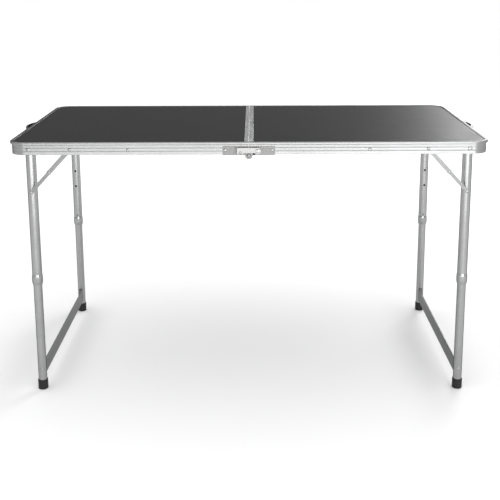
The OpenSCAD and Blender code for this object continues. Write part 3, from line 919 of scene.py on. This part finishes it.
@dataclass
class SeamHardware:
    """Hinge plates, their pins and rivets, and the catch on the front of the seam."""

    shop: Workshop
    plate_l: float = 65 * MM
    plate_t: float = 1.2 * MM
    ear: float = 9.5 * MM
    ear_gap: float = 0.5 * MM
    neck_l: float = 16.5 * MM
    neck_h: float = 9.5 * MM
    joggle: Point = (10.5 * MM, 14.5 * MM)
    corner: float = 2 * MM
    rivet_x: float = 58.5 * MM
    stud_x: float = 21 * MM
    stop_x: Point = (31.4 * MM, 33.2 * MM)
    lead: float = 0.5 * MM
    pin: float = 2.5 * MM
    pin_head: float = 5 * MM
    press: float = 0.25 * MM
    rivet: Rivet = Rivet(2.2 * MM, 4 * MM, 1.2 * MM, 4.2 * MM, 1.5 * MM)

    def __post_init__(self) -> None:
        """Reads the layers and axes of the hardware from the frame."""
        self.hinge = joint_place("centre_fold")
        self.hook = joint_place("latch_swing")
        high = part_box("hinge_plates_right")[1]
        self.layer_1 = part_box("edge_rail_right")[1].y - BEAD_OUT
        self.layer_2 = high.y - self.plate_t
        self.tail_start = self.layer_1 - RAIL_WALL - self.rivet.tail_rise
        self.top = high.z
        self.low = self.hinge.z + 0.3 * MM
        self.rivet_z = self.hook.z + 2 * MM
        self.outer = -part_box("latch_pivot")[0].y
        self.stud_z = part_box("latch_stud")[0].z + 4 * MM

    def plate_face(self, radius: float, turn: float, steps: int) -> list[Point]:
        """Outline of a plate whose seam end follows a circle about the hinge axis.

        Args:
            radius: Radius of the circle.
            turn: Angle that the circle's arc turns through, in degrees.
            steps: Chords of the arc.

        Returns:
            The outline, counterclockwise.
        """
        cut = self.corner
        right = arc((self.plate_l - cut, self.low + cut), cut, -90, 0, 3)
        right += arc((self.plate_l - cut, self.top - cut), cut, 0, 90, 3)
        start = math.degrees(math.acos(self.lead / radius))
        bite = arc((0, self.hinge.z), radius, start, start + turn, steps)
        return [*right, (self.lead, self.top), *bite]

    def left_plates(self) -> None:
        """Presses the left plates, whose ear lies in their own layer."""
        turn = 360 - math.degrees(math.acos(self.lead / self.ear)) + 2
        ear = self.plate_face(self.ear, turn, 30)
        rings = slab(ear, self.layer_1, self.layer_1 + self.plate_t, self.press)
        shell = both_ends(-1, laid(Axes.FACE_XZ), rings)
        near, far = self.stop_x
        stop = cut_box((near, self.hinge.z + 3 * MM), (far, self.top - 2 * MM), 0.4 * MM)
        tall = slab(stop, self.layer_1 + self.plate_t / 2, -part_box("latch_hook")[0].y, 0.3 * MM)
        shell.loft(tall, laid(Axes.FACE_XZ), (-1, FRONT))
        self.shop.mount("hinge_plates_left", shell)

    def right_plates(self) -> None:
        """Presses the right plates, whose ear steps out one layer over the left ear."""
        clear = self.ear + self.ear_gap
        turn = -math.degrees(math.acos(self.lead / clear)) + 2
        outline = self.plate_face(clear, turn, 12)
        face = slab(outline, self.layer_1, self.layer_1 + self.plate_t, self.press)
        neck_top = self.hinge.z + self.neck_h
        tongue = [(self.neck_l, self.low), (self.neck_l, neck_top)]
        tongue += arc((0, self.hinge.z), self.ear, 90, 361, 30)
        ear = slab(tongue, self.layer_2, self.layer_2 + self.plate_t, self.press)
        step = cut_box((self.joggle[0], self.low), (self.joggle[1], neck_top), 0.3 * MM)
        riser = slab(step, self.layer_1, self.layer_2 + self.plate_t, self.press)
        self.shop.mount("hinge_plates_right", both_ends(1, laid(Axes.FACE_XZ), face, ear, riser))

    def rivets(self, side: str) -> None:
        """Sets the rivets of one pair of plates.

        Args:
            side: The leaf that the plates are on.
        """
        shell = Shell()
        rings = turned(self.rivet.profile(self.tail_start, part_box(f"hinge_rivets_{side}")[1].y))
        inner = (self.stud_x, self.stud_z) if side == "left" else (self.hook.x, self.hook.z)
        spots = [(self.rivet_x, self.rivet_z, end) for end in ENDS.values()] + [(*inner, BACK)]
        for x, z, end in spots:
            shell.loft(rings, laid(Axes.ALONG_Y, (x, 0, z)), (SIDES[side], end))
        self.shop.mount(f"hinge_rivets_{side}", shell)

    def pins(self) -> None:
        """Sets the two hinge pins, each with a domed head over the ears."""
        ease = 0.4 * MM
        low = self.layer_1 + 0.05 * MM
        head = self.layer_2 + self.plate_t + 0.2 * MM
        profile = [(low, 0.0), (low, self.pin - ease), (low + ease, self.pin), (head, self.pin)]
        rings = turned([*profile, *dome(head, self.pin_head, self.outer - head)])
        self.shop.mount("hinge_pins", both_ends(1, laid(Axes.ALONG_Y, (0, 0, self.hinge.z)), rings))

    def hook_outline(self) -> list[Point]:
        """Outline of the catch lever, with the open slot that drops over the stud.

        Returns:
            The outline, counterclockwise.
        """
        x, z = self.hook.x, self.hook.z
        end = 8.5 * MM
        tip, tip_low, edge = -29.5 * MM, z - 8.5 * MM, z - 4.9 * MM
        slot = 2.9 * MM
        outline = arc((x, z), end, -90, 90, 18)
        outline += arc((tip + 2 * MM, z + end - 2 * MM), 2 * MM, 90, 180, 4)
        outline += arc((tip + 1.5 * MM, tip_low + 1.5 * MM), 1.5 * MM, 180, 270, 3)
        outline += [(-self.stud_x - slot - 1.6 * MM, tip_low)]
        outline += arc((-self.stud_x, self.stud_z), slot, 190, 0, 12)
        outline += [(-self.stud_x + slot, tip_low), (-self.stud_x + 6 * MM, tip_low)]
        outline += [(-self.stud_x + 8 * MM, edge), (x - 6 * MM, edge), (x - 3 * MM, z - 7.9 * MM)]
        return outline

    def post(self, collar: float, shank: float, head: float) -> list[Point]:
        """Profile of a post on the rail: rolled tail, collar under the lever, head over it.

        Args:
            collar: Radius of the collar.
            shank: Radius where the post passes the lever.
            head: Radius of the head.

        Returns:
            The profile, from the tail to the crown.
        """
        low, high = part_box("latch_hook")
        base, under, over = self.layer_1 + self.plate_t, -high.y - 0.1 * MM, -low.y + 0.2 * MM
        ease = 0.3 * MM
        tail = rolled(self.tail_start, self.rivet.tail, self.rivet.tail_rise)
        return [*tail, (self.tail_start + self.rivet.tail_rise, self.rivet.shank),
                (base, self.rivet.shank), (base, collar), (under - ease, collar),
                (under, collar - ease), (under, shank), (over, shank),
                *dome(over, head, self.outer - over)]

    def catch(self) -> None:
        """Makes the catch: the lever, its pivot and the stud that it drops over."""
        low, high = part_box("latch_hook")
        lever = slab(self.hook_outline(), -high.y, -low.y, 0.3 * MM)
        self.shop.mount("latch_hook", Shell().loft(lever, laid(Axes.FACE_XZ), (1, FRONT)))
        stud = turned(self.post(4 * MM, 2.3 * MM, 3.3 * MM))
        place = laid(Axes.ALONG_Y, (self.stud_x, 0, self.stud_z))
        self.shop.mount("latch_stud", Shell().loft(stud, place, (-1, FRONT)))
        pivot = turned(self.post(5 * MM, 2.2 * MM, 5.5 * MM))
        place = laid(Axes.ALONG_Y, (self.hook.x, 0, self.hook.z))
        self.shop.mount("latch_pivot", Shell().loft(pivot, place, (1, FRONT)))

    def build(self) -> None:
        """Builds everything at the seam."""
        self.left_plates()
        self.right_plates()
        for side in SIDES:
            self.rivets(side)
        self.pins()
        self.catch()


@dataclass
class Handle:
    """A bowed carrying handle with a pad and a rivet at each end."""

    shop: Workshop
    side: str
    span: float = 140 * MM
    grip_t: float = 7 * MM
    pad_t: float = 3 * MM
    pad_in: float = 16 * MM
    rivet_out: float = 8 * MM
    rivet: Rivet = Rivet(2 * MM, 4 * MM, 1.2 * MM, 4.2 * MM, 1.5 * MM)

    def outline(self) -> list[Point]:
        """The handle seen from above, as (y, x) points.

        Returns:
            The outline, counterclockwise in its own axes.
        """
        low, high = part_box("handle_right")
        wall = low.x
        sag = high.x - wall
        outer = (self.span ** 2 / 4 + sag ** 2) / (2 * sag)
        inner = outer - self.grip_t
        centre = (0.0, high.x - outer)
        face = wall + self.pad_t - centre[1]
        a_out = math.degrees(math.asin(face / outer))
        a_in = math.degrees(math.asin(face / inner))
        end, foot = high.y, self.span / 2 - self.pad_in
        ease = 1.2 * MM
        points = [(foot, wall), *arc((end - ease, wall + ease), ease, -90, 0, 3)]
        points += arc((end - ease, wall + self.pad_t - ease), ease, 0, 90, 3)
        points += arc(centre, outer, a_out, 180 - a_out, 40)
        points += arc((-end + ease, wall + self.pad_t - ease), ease, 90, 180, 3)
        points += arc((-end + ease, wall + ease), ease, 180, 270, 3)
        points += [(-foot, wall)]
        points += arc(centre, inner, 180 - a_in, a_in, 40)
        return points

    def build(self) -> None:
        """Moulds the handle and sets its rivets."""
        low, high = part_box("handle_right")
        sign = SIDES[self.side]
        grip = slab(self.outline(), low.z, high.z, 1.3 * MM, 4)
        shell = Shell().loft(grip, laid(Axes.ALONG_Y), (sign, 1))
        self.shop.mount(f"handle_{self.side}", shell)
        tail, head = (corner.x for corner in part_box("handle_rivets_right"))
        rings = turned(self.rivet.profile(tail, head))
        spot = (0, self.span / 2 + self.rivet_out, (low.z + high.z) / 2)
        rivets = both_ends(sign, laid(Axes.ALONG_X, spot), rings)
        self.shop.mount(f"handle_rivets_{self.side}", rivets)


# ------------------------------------------------------------------ leg frames

@dataclass
class LegFrame:
    """One leg frame: upper and lower tubes, collars, feet, crossbar and buttons."""

    shop: Workshop
    side: str
    wall: float = 1.2 * MM
    button: float = 3 * MM
    button_hole: float = 3.2 * MM
    button_drop: float = 25 * MM
    button_steps: tuple[float, ...] = (0.0, 96 * MM, 144 * MM)
    collar_grip: float = 6 * MM
    bar_t: float = 3 * MM
    bar_tab: float = 5.5 * MM
    bar_rivet: Rivet = Rivet(2.2 * MM, 3.2 * MM, 1.2 * MM, 4 * MM, 1.2 * MM)
    fold_rivet: Rivet = Rivet(3 * MM, 4.8 * MM, 1.2 * MM, 5.5 * MM, 1.5 * MM)
    bushing: float = 6 * MM
    leaf_t: float = 1 * MM
    leaf_half: float = 4 * MM
    leaf_bend: float = 5 * MM
    leaf_out: float = 8.9 * MM
    sides: int = 72

    def __post_init__(self) -> None:
        """Reads the tube axes and levels from the frame."""
        self.sign = SIDES[self.side]
        self.low, self.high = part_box("upper_leg_right_back")
        self.pivot = joint_place("leg_fold_right")
        self.y = (self.low.y + self.high.y) / 2
        self.radius = (self.high.y - self.low.y) / 2
        self.axis = (self.pivot.x, self.y, 0.0)
        lower_low, lower_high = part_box("lower_leg_right_back")
        self.lower_radius = (lower_high.y - lower_low.y) / 2
        self.lower_low, self.lower_top = lower_low.z, lower_high.z
        self.button_z = self.lower_top - self.button_drop
        self.bar_low, self.bar_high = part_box("crossbar_right")
        self.bar_z = (self.bar_low.z + self.bar_high.z) / 2
        self.rail_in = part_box("edge_rail_right")[1].y - BEAD_OUT - RAIL_WALL

    def rim(self, angle: float, radius: float) -> float:
        """Height of the tube's rounded end at one place round it.

        Args:
            angle: Angle round the tube.
            radius: Distance from the tube's axis.

        Returns:
            The height above the floor.
        """
        end = self.high.z - self.pivot.z
        across = radius * math.cos(angle)
        return self.pivot.z + math.sqrt(max(end * end - across * across, 0.0))

    def upper(self, end: str) -> None:
        """Makes an upper tube with its end rounded about the fold axis and its button holes.

        Args:
            end: "front" or "back".
        """
        ease = 0.3 * MM
        bore = self.radius - self.wall
        turns = [2 * math.pi * k / self.sides for k in range(self.sides)]

        def ring(radius: float, height: Callable[[float], float]) -> list[Vector]:
            """One ring of the tube's wall."""
            return [Vector((height(a), radius * math.cos(a), radius * math.sin(a))) for a in turns]

        middle = self.pivot.z - 20 * MM
        rings = [
            ring(self.radius, lambda a: self.low.z),
            ring(self.radius, lambda a: middle),
            ring(self.radius, lambda a: self.rim(a, self.radius) - ease),
            ring(self.radius - ease, lambda a: self.rim(a, self.radius)),
            ring(bore, lambda a: self.rim(a, self.radius)),
            ring(bore, lambda a: middle),
            ring(bore, lambda a: self.low.z),
        ]
        signs = (self.sign, ENDS[end])
        shell = Shell().loft(rings, laid(Axes.ALONG_Z, self.axis), signs, looped=True)
        cutters = []
        outside = self.y - self.radius - 2 * MM
        hole = [(outside, 0), (outside, self.button_hole), (self.y, self.button_hole), (self.y, 0)]
        for step in self.button_steps:
            spot = (self.pivot.x, 0, self.button_z + step)
            cutters.append(Shell().loft(turned(hole, 28), laid(Axes.ALONG_Y, spot), signs))
        self.shop.mount(f"upper_leg_{self.side}_{end}", shell, cutters)

    def lower(self, end: str) -> None:
        """Makes a lower tube with eased ends.

        Args:
            end: "front" or "back".
        """
        ease = 0.3 * MM
        bore = self.lower_radius - self.wall
        low, high = self.lower_low, self.lower_top
        outer = [(low, self.lower_radius - ease), (low + ease, self.lower_radius),
                 (high - ease, self.lower_radius), (high, self.lower_radius - ease)]
        rings = turned([*outer, (high, bore), (low, bore)], self.sides)
        signs = (self.sign, ENDS[end])
        shell = Shell().loft(rings, laid(Axes.ALONG_Z, self.axis), signs, looped=True)
        self.shop.mount(f"lower_leg_{self.side}_{end}", shell)

    def foot(self, end: str) -> None:
        """Moulds a foot cap with a rolled lip, two grip rings and a treaded sole.

        Args:
            end: "front" or "back".
        """
        low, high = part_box("foot_right_back")
        r = (high.y - low.y) / 2
        ring, round_r = 0.35 * MM, 2 * MM
        seat = self.lower_radius + 0.02 * MM
        sole = [(1.2 * MM, 0.0), (1.2 * MM, 2.5 * MM), (0.0, 3.2 * MM), (0.0, 5.2 * MM)]
        sole += [(0.7 * MM, 5.6 * MM), (0.7 * MM, 6.8 * MM), (0.0, 7.2 * MM), (0.0, r - round_r)]
        side = [(round_r - round_r * math.cos(a), r - round_r + round_r * math.sin(a))
                for a in (math.pi / 10 * k for k in range(1, 6))]
        for level in (high.z - 6 * MM, high.z - 3.4 * MM):
            side += [(level - 0.5 * MM, r), (level - 0.2 * MM, r - ring), (level + 0.2 * MM, r - ring),
                     (level + 0.5 * MM, r)]
        lip = [(high.z - 1 * MM, r), (high.z - 0.3 * MM, r - 0.25 * MM), (high.z, r - 0.9 * MM),
               (high.z, seat), (self.lower_low, seat), (self.lower_low, 0.0)]
        rings = turned([*sole, *side, *lip], 56)
        shell = Shell().loft(rings, laid(Axes.ALONG_Z, self.axis), (self.sign, ENDS[end]))
        self.shop.mount(f"foot_{self.side}_{end}", shell)

    def collars(self) -> None:
        """Turns the two collars, bulged over the upper tube and tapered to the lower one."""
        low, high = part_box("collars_right")
        guide = self.lower_radius + 0.2 * MM
        skin, lip = self.radius + 0.02 * MM, self.radius - 0.4 * MM
        bulge, height = high.y - self.y, high.z - low.z
        steps, swell_rate, taper_start = 10, 3.2, 0.72
        profile = [(0.0, guide), (0.0, self.radius - 0.6 * MM)]
        for share in (k / steps for k in range(1, steps + 1)):
            swell = math.sin(math.pi / 2 * min(1.0, share * swell_rate)) ** 1.3
            fall = 1 - max(0.0, (share - taper_start) / (1 - taper_start)) ** 2
            floor = self.radius + 0.05 * MM if share > 0.3 else 0.0
            profile.append((height * share, max(lip + (bulge - lip) * min(swell, fall), floor)))
        profile += [(height, skin), (self.collar_grip, skin), (self.collar_grip, guide)]
        place = laid(Axes.ALONG_Z, (self.pivot.x, self.y, low.z))
        shell = both_ends(self.sign, place, turned(profile, self.sides), looped=True)
        self.shop.mount(f"collars_{self.side}", shell)

    def bar_outline(self) -> list[Point]:
        """The crossbar seen from above, as (y, x) points, with a saddle at each end.

        Returns:
            The outline, counterclockwise in its own axes.
        """
        low, high = self.bar_low, self.bar_high
        tab = high.y - self.bar_tab
        ease = 0.6 * MM
        reach = high.x - ease - self.pivot.x
        half_angle = math.degrees(math.asin(reach / self.lower_radius))
        lip = self.y - math.sqrt(self.lower_radius ** 2 - reach ** 2)
        right = [(tab, low.x + self.bar_t), (tab, high.x - ease), (tab + ease, high.x)]
        right += [(lip - 0.1 * MM, high.x)]
        right += arc((self.y, self.pivot.x), self.lower_radius, 180 - half_angle, 180 + half_angle, 14)
        right += [(lip - 1 * MM, low.x)]
        mirrored = [(-y, x) for y, x in reversed(right)]
        return [*mirrored, *right][::-1]

    def crossbar(self) -> None:
        """Makes the crossbar strip and its rivets."""
        rings = slab(self.bar_outline(), self.bar_low.z, self.bar_high.z, 0.5 * MM)
        shell = Shell().loft(rings, laid(Axes.ALONG_Y), (self.sign, 1))
        self.shop.mount(f"crossbar_{self.side}", shell)
        start = self.bar_high.y - self.bar_tab - self.bar_rivet.tail_rise
        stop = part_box("crossbar_rivets_right")[1].y
        rings = turned(self.bar_rivet.profile(start, stop))
        spot = laid(Axes.ALONG_Y, (self.pivot.x, 0, self.bar_z))
        self.shop.mount(f"crossbar_rivets_{self.side}", both_ends(self.sign, spot, rings))

    def pivots(self) -> None:
        """Sets the rivets that the legs fold about, and the bushings between leg and rail."""
        start, stop = self.y - self.radius - 1.3 * MM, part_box("leg_pivots_right")[1].y
        tube, ease = self.y + self.radius + 0.2 * MM, 0.3 * MM
        bore = self.fold_rivet.shank
        bushing = [(tube, bore), (tube, self.bushing - ease), (tube + ease, self.bushing),
                   (self.rail_in, self.bushing), (self.rail_in, bore)]
        spot = laid(Axes.ALONG_Y, (self.pivot.x, 0, self.pivot.z))
        rivets = both_ends(self.sign, spot, turned(self.fold_rivet.profile(start, stop)))
        self.shop.mount(f"leg_pivots_{self.side}", rivets)
        bushings = both_ends(self.sign, spot, turned(bushing), looped=True)
        self.shop.mount(f"pivot_bushings_{self.side}", bushings)

    def snap_clip(self, end: str) -> None:
        """Bends a spring leaf inside the tube and sets its button.

        Args:
            end: "front" or "back".
        """
        bend, leaf, r = self.leaf_bend, self.leaf_t, self.button
        near, base = self.y - self.leaf_out, self.button_z - 22 * MM
        far, long_top, short_top = near + 2 * bend, self.button_z + 8 * MM, base + 12 * MM
        centre = (near + bend, base)
        outline = [(near, long_top), *arc(centre, bend, 180, 360, 12), (far, short_top)]
        outline += [(far - leaf, short_top), *arc(centre, bend - leaf, 360, 180, 12)]
        outline += [(near + leaf, long_top)]
        rings = slab(outline, self.pivot.x - self.leaf_half, self.pivot.x + self.leaf_half, 0.2 * MM)
        signs = (self.sign, ENDS[end])
        shell = Shell().loft(rings, laid(Axes.FACE_YZ), signs)
        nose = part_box("snap_clip_right_back")[0].y
        profile = [(nose, 0.0), (nose, r * 0.6), (nose + 0.3 * MM, r * 0.85), (nose + 0.9 * MM, r)]
        profile += [(near + leaf / 2, r), (near + leaf / 2, 0.0)]
        shell.loft(turned(profile), laid(Axes.ALONG_Y, (self.pivot.x, 0, self.button_z)), signs)
        self.shop.mount(f"snap_clip_{self.side}_{end}", shell)

    def build(self) -> None:
        """Builds the whole leg frame."""
        for end in ENDS:
            self.upper(end)
            self.lower(end)
            self.foot(end)
            self.snap_clip(end)
        self.collars()
        self.crossbar()
        self.pivots()


@dataclass
class Braces:
    """The two folding braces of one leg frame, with their anchors, pins and middle rivets."""

    shop: Workshop
    side: str
    upper_w: float = 12 * MM
    lower_w: float = 10 * MM
    thick: float = 1.5 * MM
    eye_step: float = 0.4 * MM
    tail: float = 4 * MM
    tail_rise: float = 1.2 * MM
    shank: float = 2.2 * MM
    play: float = 0.2 * MM
    joint_head: float = 3.6 * MM
    joint_shank: float = 2 * MM
    joint_rise: float = 1 * MM

    def __post_init__(self) -> None:
        """Works out the brace's three centres from the frame's joints."""
        self.sign = SIDES[self.side]
        self.anchor = joint_place("brace_top_swing_right")
        self.pin = joint_place("brace_bottom_swing_right")
        run = self.pin - self.anchor
        reach = (run.length - run.z - run.x) / 2
        self.middle = self.anchor + run.normalized() * reach
        self.upper_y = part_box("brace_upper_right")[1].y - self.thick
        self.lower_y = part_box("brace_lower_right")[1].y - self.thick

    def link(self, a: Vector, b: Vector, width: float) -> list[Point]:
        """Outline of a link with a round eye at each end.

        Args:
            a: Centre of the first eye.
            b: Centre of the second eye.
            width: Width of the eyes.

        Returns:
            The outline in its own axes, from the first eye at the origin.
        """
        run, r = (b - a).length, width / 2
        waist = math.degrees(math.asin((r - self.eye_step) / r))
        return [*arc((0, 0), r, waist, 360 - waist, 22),
                *arc((run, 0), r, waist - 180, 180 - waist, 22)]

    def lay(self, a: Vector, b: Vector) -> Placer:
        """Makes the placing function of a link that runs from one centre to another.

        Args:
            a: Centre of its first eye.
            b: Centre of its second eye.

        Returns:
            The placing function.
        """
        along = (b - a).normalized()
        across = Vector((-along.z, 0, along.x))

        def place(spot: Vector) -> Vector:
            """Places one point of the link."""
            flat = a + along * spot.x + across * spot.y
            return Vector((flat.x, spot.z, flat.z))
        return place

    def links(self) -> None:
        """Presses the links, each with a shallow stiffening bead along its shank."""
        rows = (("upper", self.anchor, self.upper_w, self.upper_y),
                ("lower", self.pin, self.lower_w, self.lower_y))
        for name, start, width, y in rows:
            run = (self.middle - start).length
            face = slab(self.link(start, self.middle, width), y, y + self.thick, 0.25 * MM)
            bead = cut_box((9 * MM, -1.6 * MM), (run - 9 * MM, 1.6 * MM), 1.5 * MM, 6)
            rib = slab(bead, y + 0.2 * MM, y + self.thick + 0.35 * MM, 0.35 * MM)
            shell = both_ends(self.sign, self.lay(start, self.middle), face, rib)
            self.shop.mount(f"brace_{name}_{self.side}", shell)

    def set_along_y(self, node: str, profile: list[Point], at: Vector) -> None:
        """Sets the same turned piece at both ends of the leg frame.

        Args:
            node: The frame's node.
            profile: The piece's profile.
            at: Where its axis passes.
        """
        place = laid(Axes.ALONG_Y, (at.x, 0, at.z))
        self.shop.mount(node, both_ends(self.sign, place, turned(profile)))

    def middle_rivet(self) -> None:
        """Sets the two halves of the rivet between the links."""
        y, head, shank = self.upper_y, self.upper_y + self.thick, self.joint_shank
        crown = dome(head, self.joint_head, self.joint_rise)
        outer = [(y, 0.0), (y, shank), (head, shank), *crown]
        self.set_along_y(f"brace_joints_outer_{self.side}", outer, self.middle)
        start, face, gap = self.lower_y - self.joint_rise, self.lower_y + self.thick, y - 0.1 * MM
        inner = [*rolled(start, self.joint_head, self.joint_rise), (start + self.joint_rise, shank),
                 (face, shank), (face, self.tail), (gap, self.tail), (gap, 0.0)]
        self.set_along_y(f"brace_joints_inner_{self.side}", inner, self.middle)

    def pins(self) -> None:
        """Sets the pins that hold the lower links on the tubes."""
        low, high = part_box("upper_leg_right_back")
        gap = self.lower_y - 0.1 * MM
        base = self.lower_y + self.thick + self.play
        profile = [*rolled(low.y - self.tail_rise, self.tail, self.tail_rise), (low.y, self.shank),
                   (high.y, self.shank), (high.y, self.tail), (gap, self.tail), (gap, self.shank),
                   (base, self.shank), *dome(base, self.tail, self.tail_rise)]
        self.set_along_y(f"brace_pins_{self.side}", profile, self.pin)

    def anchors(self) -> None:
        """Sets the rivets along the rail: a brace anchor and a storage clip at each end."""
        wall_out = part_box("rail_rivets_right")[1].y - 1.5 * MM
        wall_in = wall_out - RAIL_WALL
        start = self.upper_y - self.tail_rise - self.play
        shoulder, spacer = self.upper_y + self.thick + 0.1 * MM, 5 * MM
        head = dome(wall_out, 4.2 * MM, 1.5 * MM)
        anchor = [*rolled(start, self.tail, self.tail_rise), (start + self.tail_rise, self.shank),
                  (shoulder, self.shank), (shoulder, spacer), (wall_in, spacer),
                  (wall_in, self.shank), (wall_out, self.shank), *head]
        clip = [(wall_in - 8 * MM, 0.0), (wall_in - 8 * MM, 2 * MM), (wall_out, 2 * MM), *head]
        shell = Shell()
        clip_low, clip_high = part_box("storage_clips_right")
        clip_x = (clip_low.x + clip_high.x) / 2
        for end in ENDS.values():
            spot = (self.anchor.x, 0, self.anchor.z)
            shell.loft(turned(anchor), laid(Axes.ALONG_Y, spot), (self.sign, end))
            spot = (clip_x, 0, self.anchor.z - 1.5 * MM)
            shell.loft(turned(clip), laid(Axes.ALONG_Y, spot), (self.sign, end))
        self.shop.mount(f"rail_rivets_{self.side}", shell)

    def build(self) -> None:
        """Builds both braces of the leg frame."""
        self.links()
        self.middle_rivet()
        self.pins()
        self.anchors()


# ----------------------------------------------------------------------- studio

@dataclass(frozen=True)
class SoftBox:
    """A rectangular light: where it hangs, its size, its watts and the point that it faces."""

    name: str
    at: tuple[float, float, float]
    size: Point
    power: float
    aim: tuple[float, float, float]

    def hang(self) -> None:
        """Makes the light and turns it to its aim."""
        data = bpy.data.lights.new(self.name, "AREA")
        data.shape = "RECTANGLE"
        data.size, data.size_y = self.size
        data.energy = self.power
        lamp = bpy.data.objects.new(self.name, data)
        lamp.location = self.at
        facing = Vector(self.aim) - Vector(self.at)
        lamp.rotation_euler = facing.to_track_quat("-Z", "Y").to_euler()
        bpy.context.scene.collection.objects.link(lamp)


@dataclass
class Studio:
    """Pale floor, soft lights and the camera."""

    lens: float = 63.3
    shift: float = -0.2
    spot: tuple[float, float, float] = (0.0133, -2.429, 1.0865)
    tilt: float = 0.203
    pan: float = -0.004
    roll: float = 0.004
    floor_half: float = 40.0
    air_level: float = 0.80
    air_strength: float = 0.32
    canopy_power: float = 2.75
    canopy_spread: float = math.radians(130)
    canopy_lean: float = math.radians(4)
    boxes: tuple[SoftBox, ...] = (
        SoftBox("key_box", (1.5, -3.7, 0.75), (1.3, 1.1), 23.0, (0.2, 0.0, 0.5)),
        SoftBox("front_strip", (0.0, -2.8, 0.28), (2.6, 0.45), 13.0, (0.0, 0.0, 0.28)),
        SoftBox("back_box", (2.9, 5.0, 1.7), (2.4, 1.2), 150.0, (0.5, 0.0, 0.66)),
    )

    def camera(self) -> None:
        """Sets up the camera in front of the table, a little above its top."""
        data = bpy.data.cameras.new("camera")
        data.lens = self.lens
        data.sensor_width = 36.0
        data.shift_y = self.shift
        data.clip_end = 200.0
        camera = bpy.data.objects.new("camera", data)
        camera.location = self.spot
        camera.rotation_euler = Euler((math.pi / 2 - self.tilt, self.roll, -self.pan), "XYZ")
        bpy.context.scene.collection.objects.link(camera)
        bpy.context.scene.camera = camera

    def floor(self) -> None:
        """Lays a wide pale floor with a faint cloud in its paint."""
        sheet = Sheet("studio_floor")
        cloud = sheet.noise(sheet.grain(0.6, 0.6), 3.0)
        sheet.surface(Base_Color=sheet.blend(cloud, grey(0.90), grey(0.93)), Roughness=0.9)
        shell = Shell()
        half = self.floor_half
        outline = [(-half, -half), (half, -half), (half, half), (-half, half)]
        shell.loft(slab(outline, -0.02, 0.0, 1 * MM, 1), laid(Axes.ALONG_X), (1, 1))
        floor = shell.finish("studio_floor")
        floor.data.materials.append(sheet.material)

    def air(self) -> None:
        """Sets the pale surroundings and shows colours without a film curve."""
        world = bpy.data.worlds.new("studio_air")
        world.use_nodes = True
        background = world.node_tree.nodes["Background"]
        background.inputs["Color"].default_value = grey(self.air_level)
        background.inputs["Strength"].default_value = self.air_strength
        bpy.context.scene.world = world
        bpy.context.scene.view_settings.view_transform = "Standard"

    def canopy(self) -> None:
        """Hangs a very wide soft light overhead."""
        data = bpy.data.lights.new("canopy", "SUN")
        data.energy = self.canopy_power
        data.angle = self.canopy_spread
        lamp = bpy.data.objects.new("canopy", data)
        lamp.rotation_euler = Euler((self.canopy_lean, self.canopy_lean, 0.0), "XYZ")
        bpy.context.scene.collection.objects.link(lamp)

    def build(self) -> None:
        """Builds the studio, camera first."""
        self.camera()
        self.floor()
        self.air()
        self.canopy()
        for box in self.boxes:
            box.hang()


def main() -> None:
    """Builds the studio and every sub-assembly in order."""
    logging.basicConfig(level=logging.INFO, format="%(name)s: %(message)s")
    Studio().build()
    shop = Workshop()
    for side in SIDES:
        Leaf(shop, side).build()
        Handle(shop, side).build()
        LegFrame(shop, side).build()
        Braces(shop, side).build()
    SeamHardware(shop).build()
    left = sorted(name for name, node in frame["nodes"].items() if not node.hide_render)
    LOG.info("frame nodes still shown: %s", left or "none")


if __name__ == "__main__":
    main()
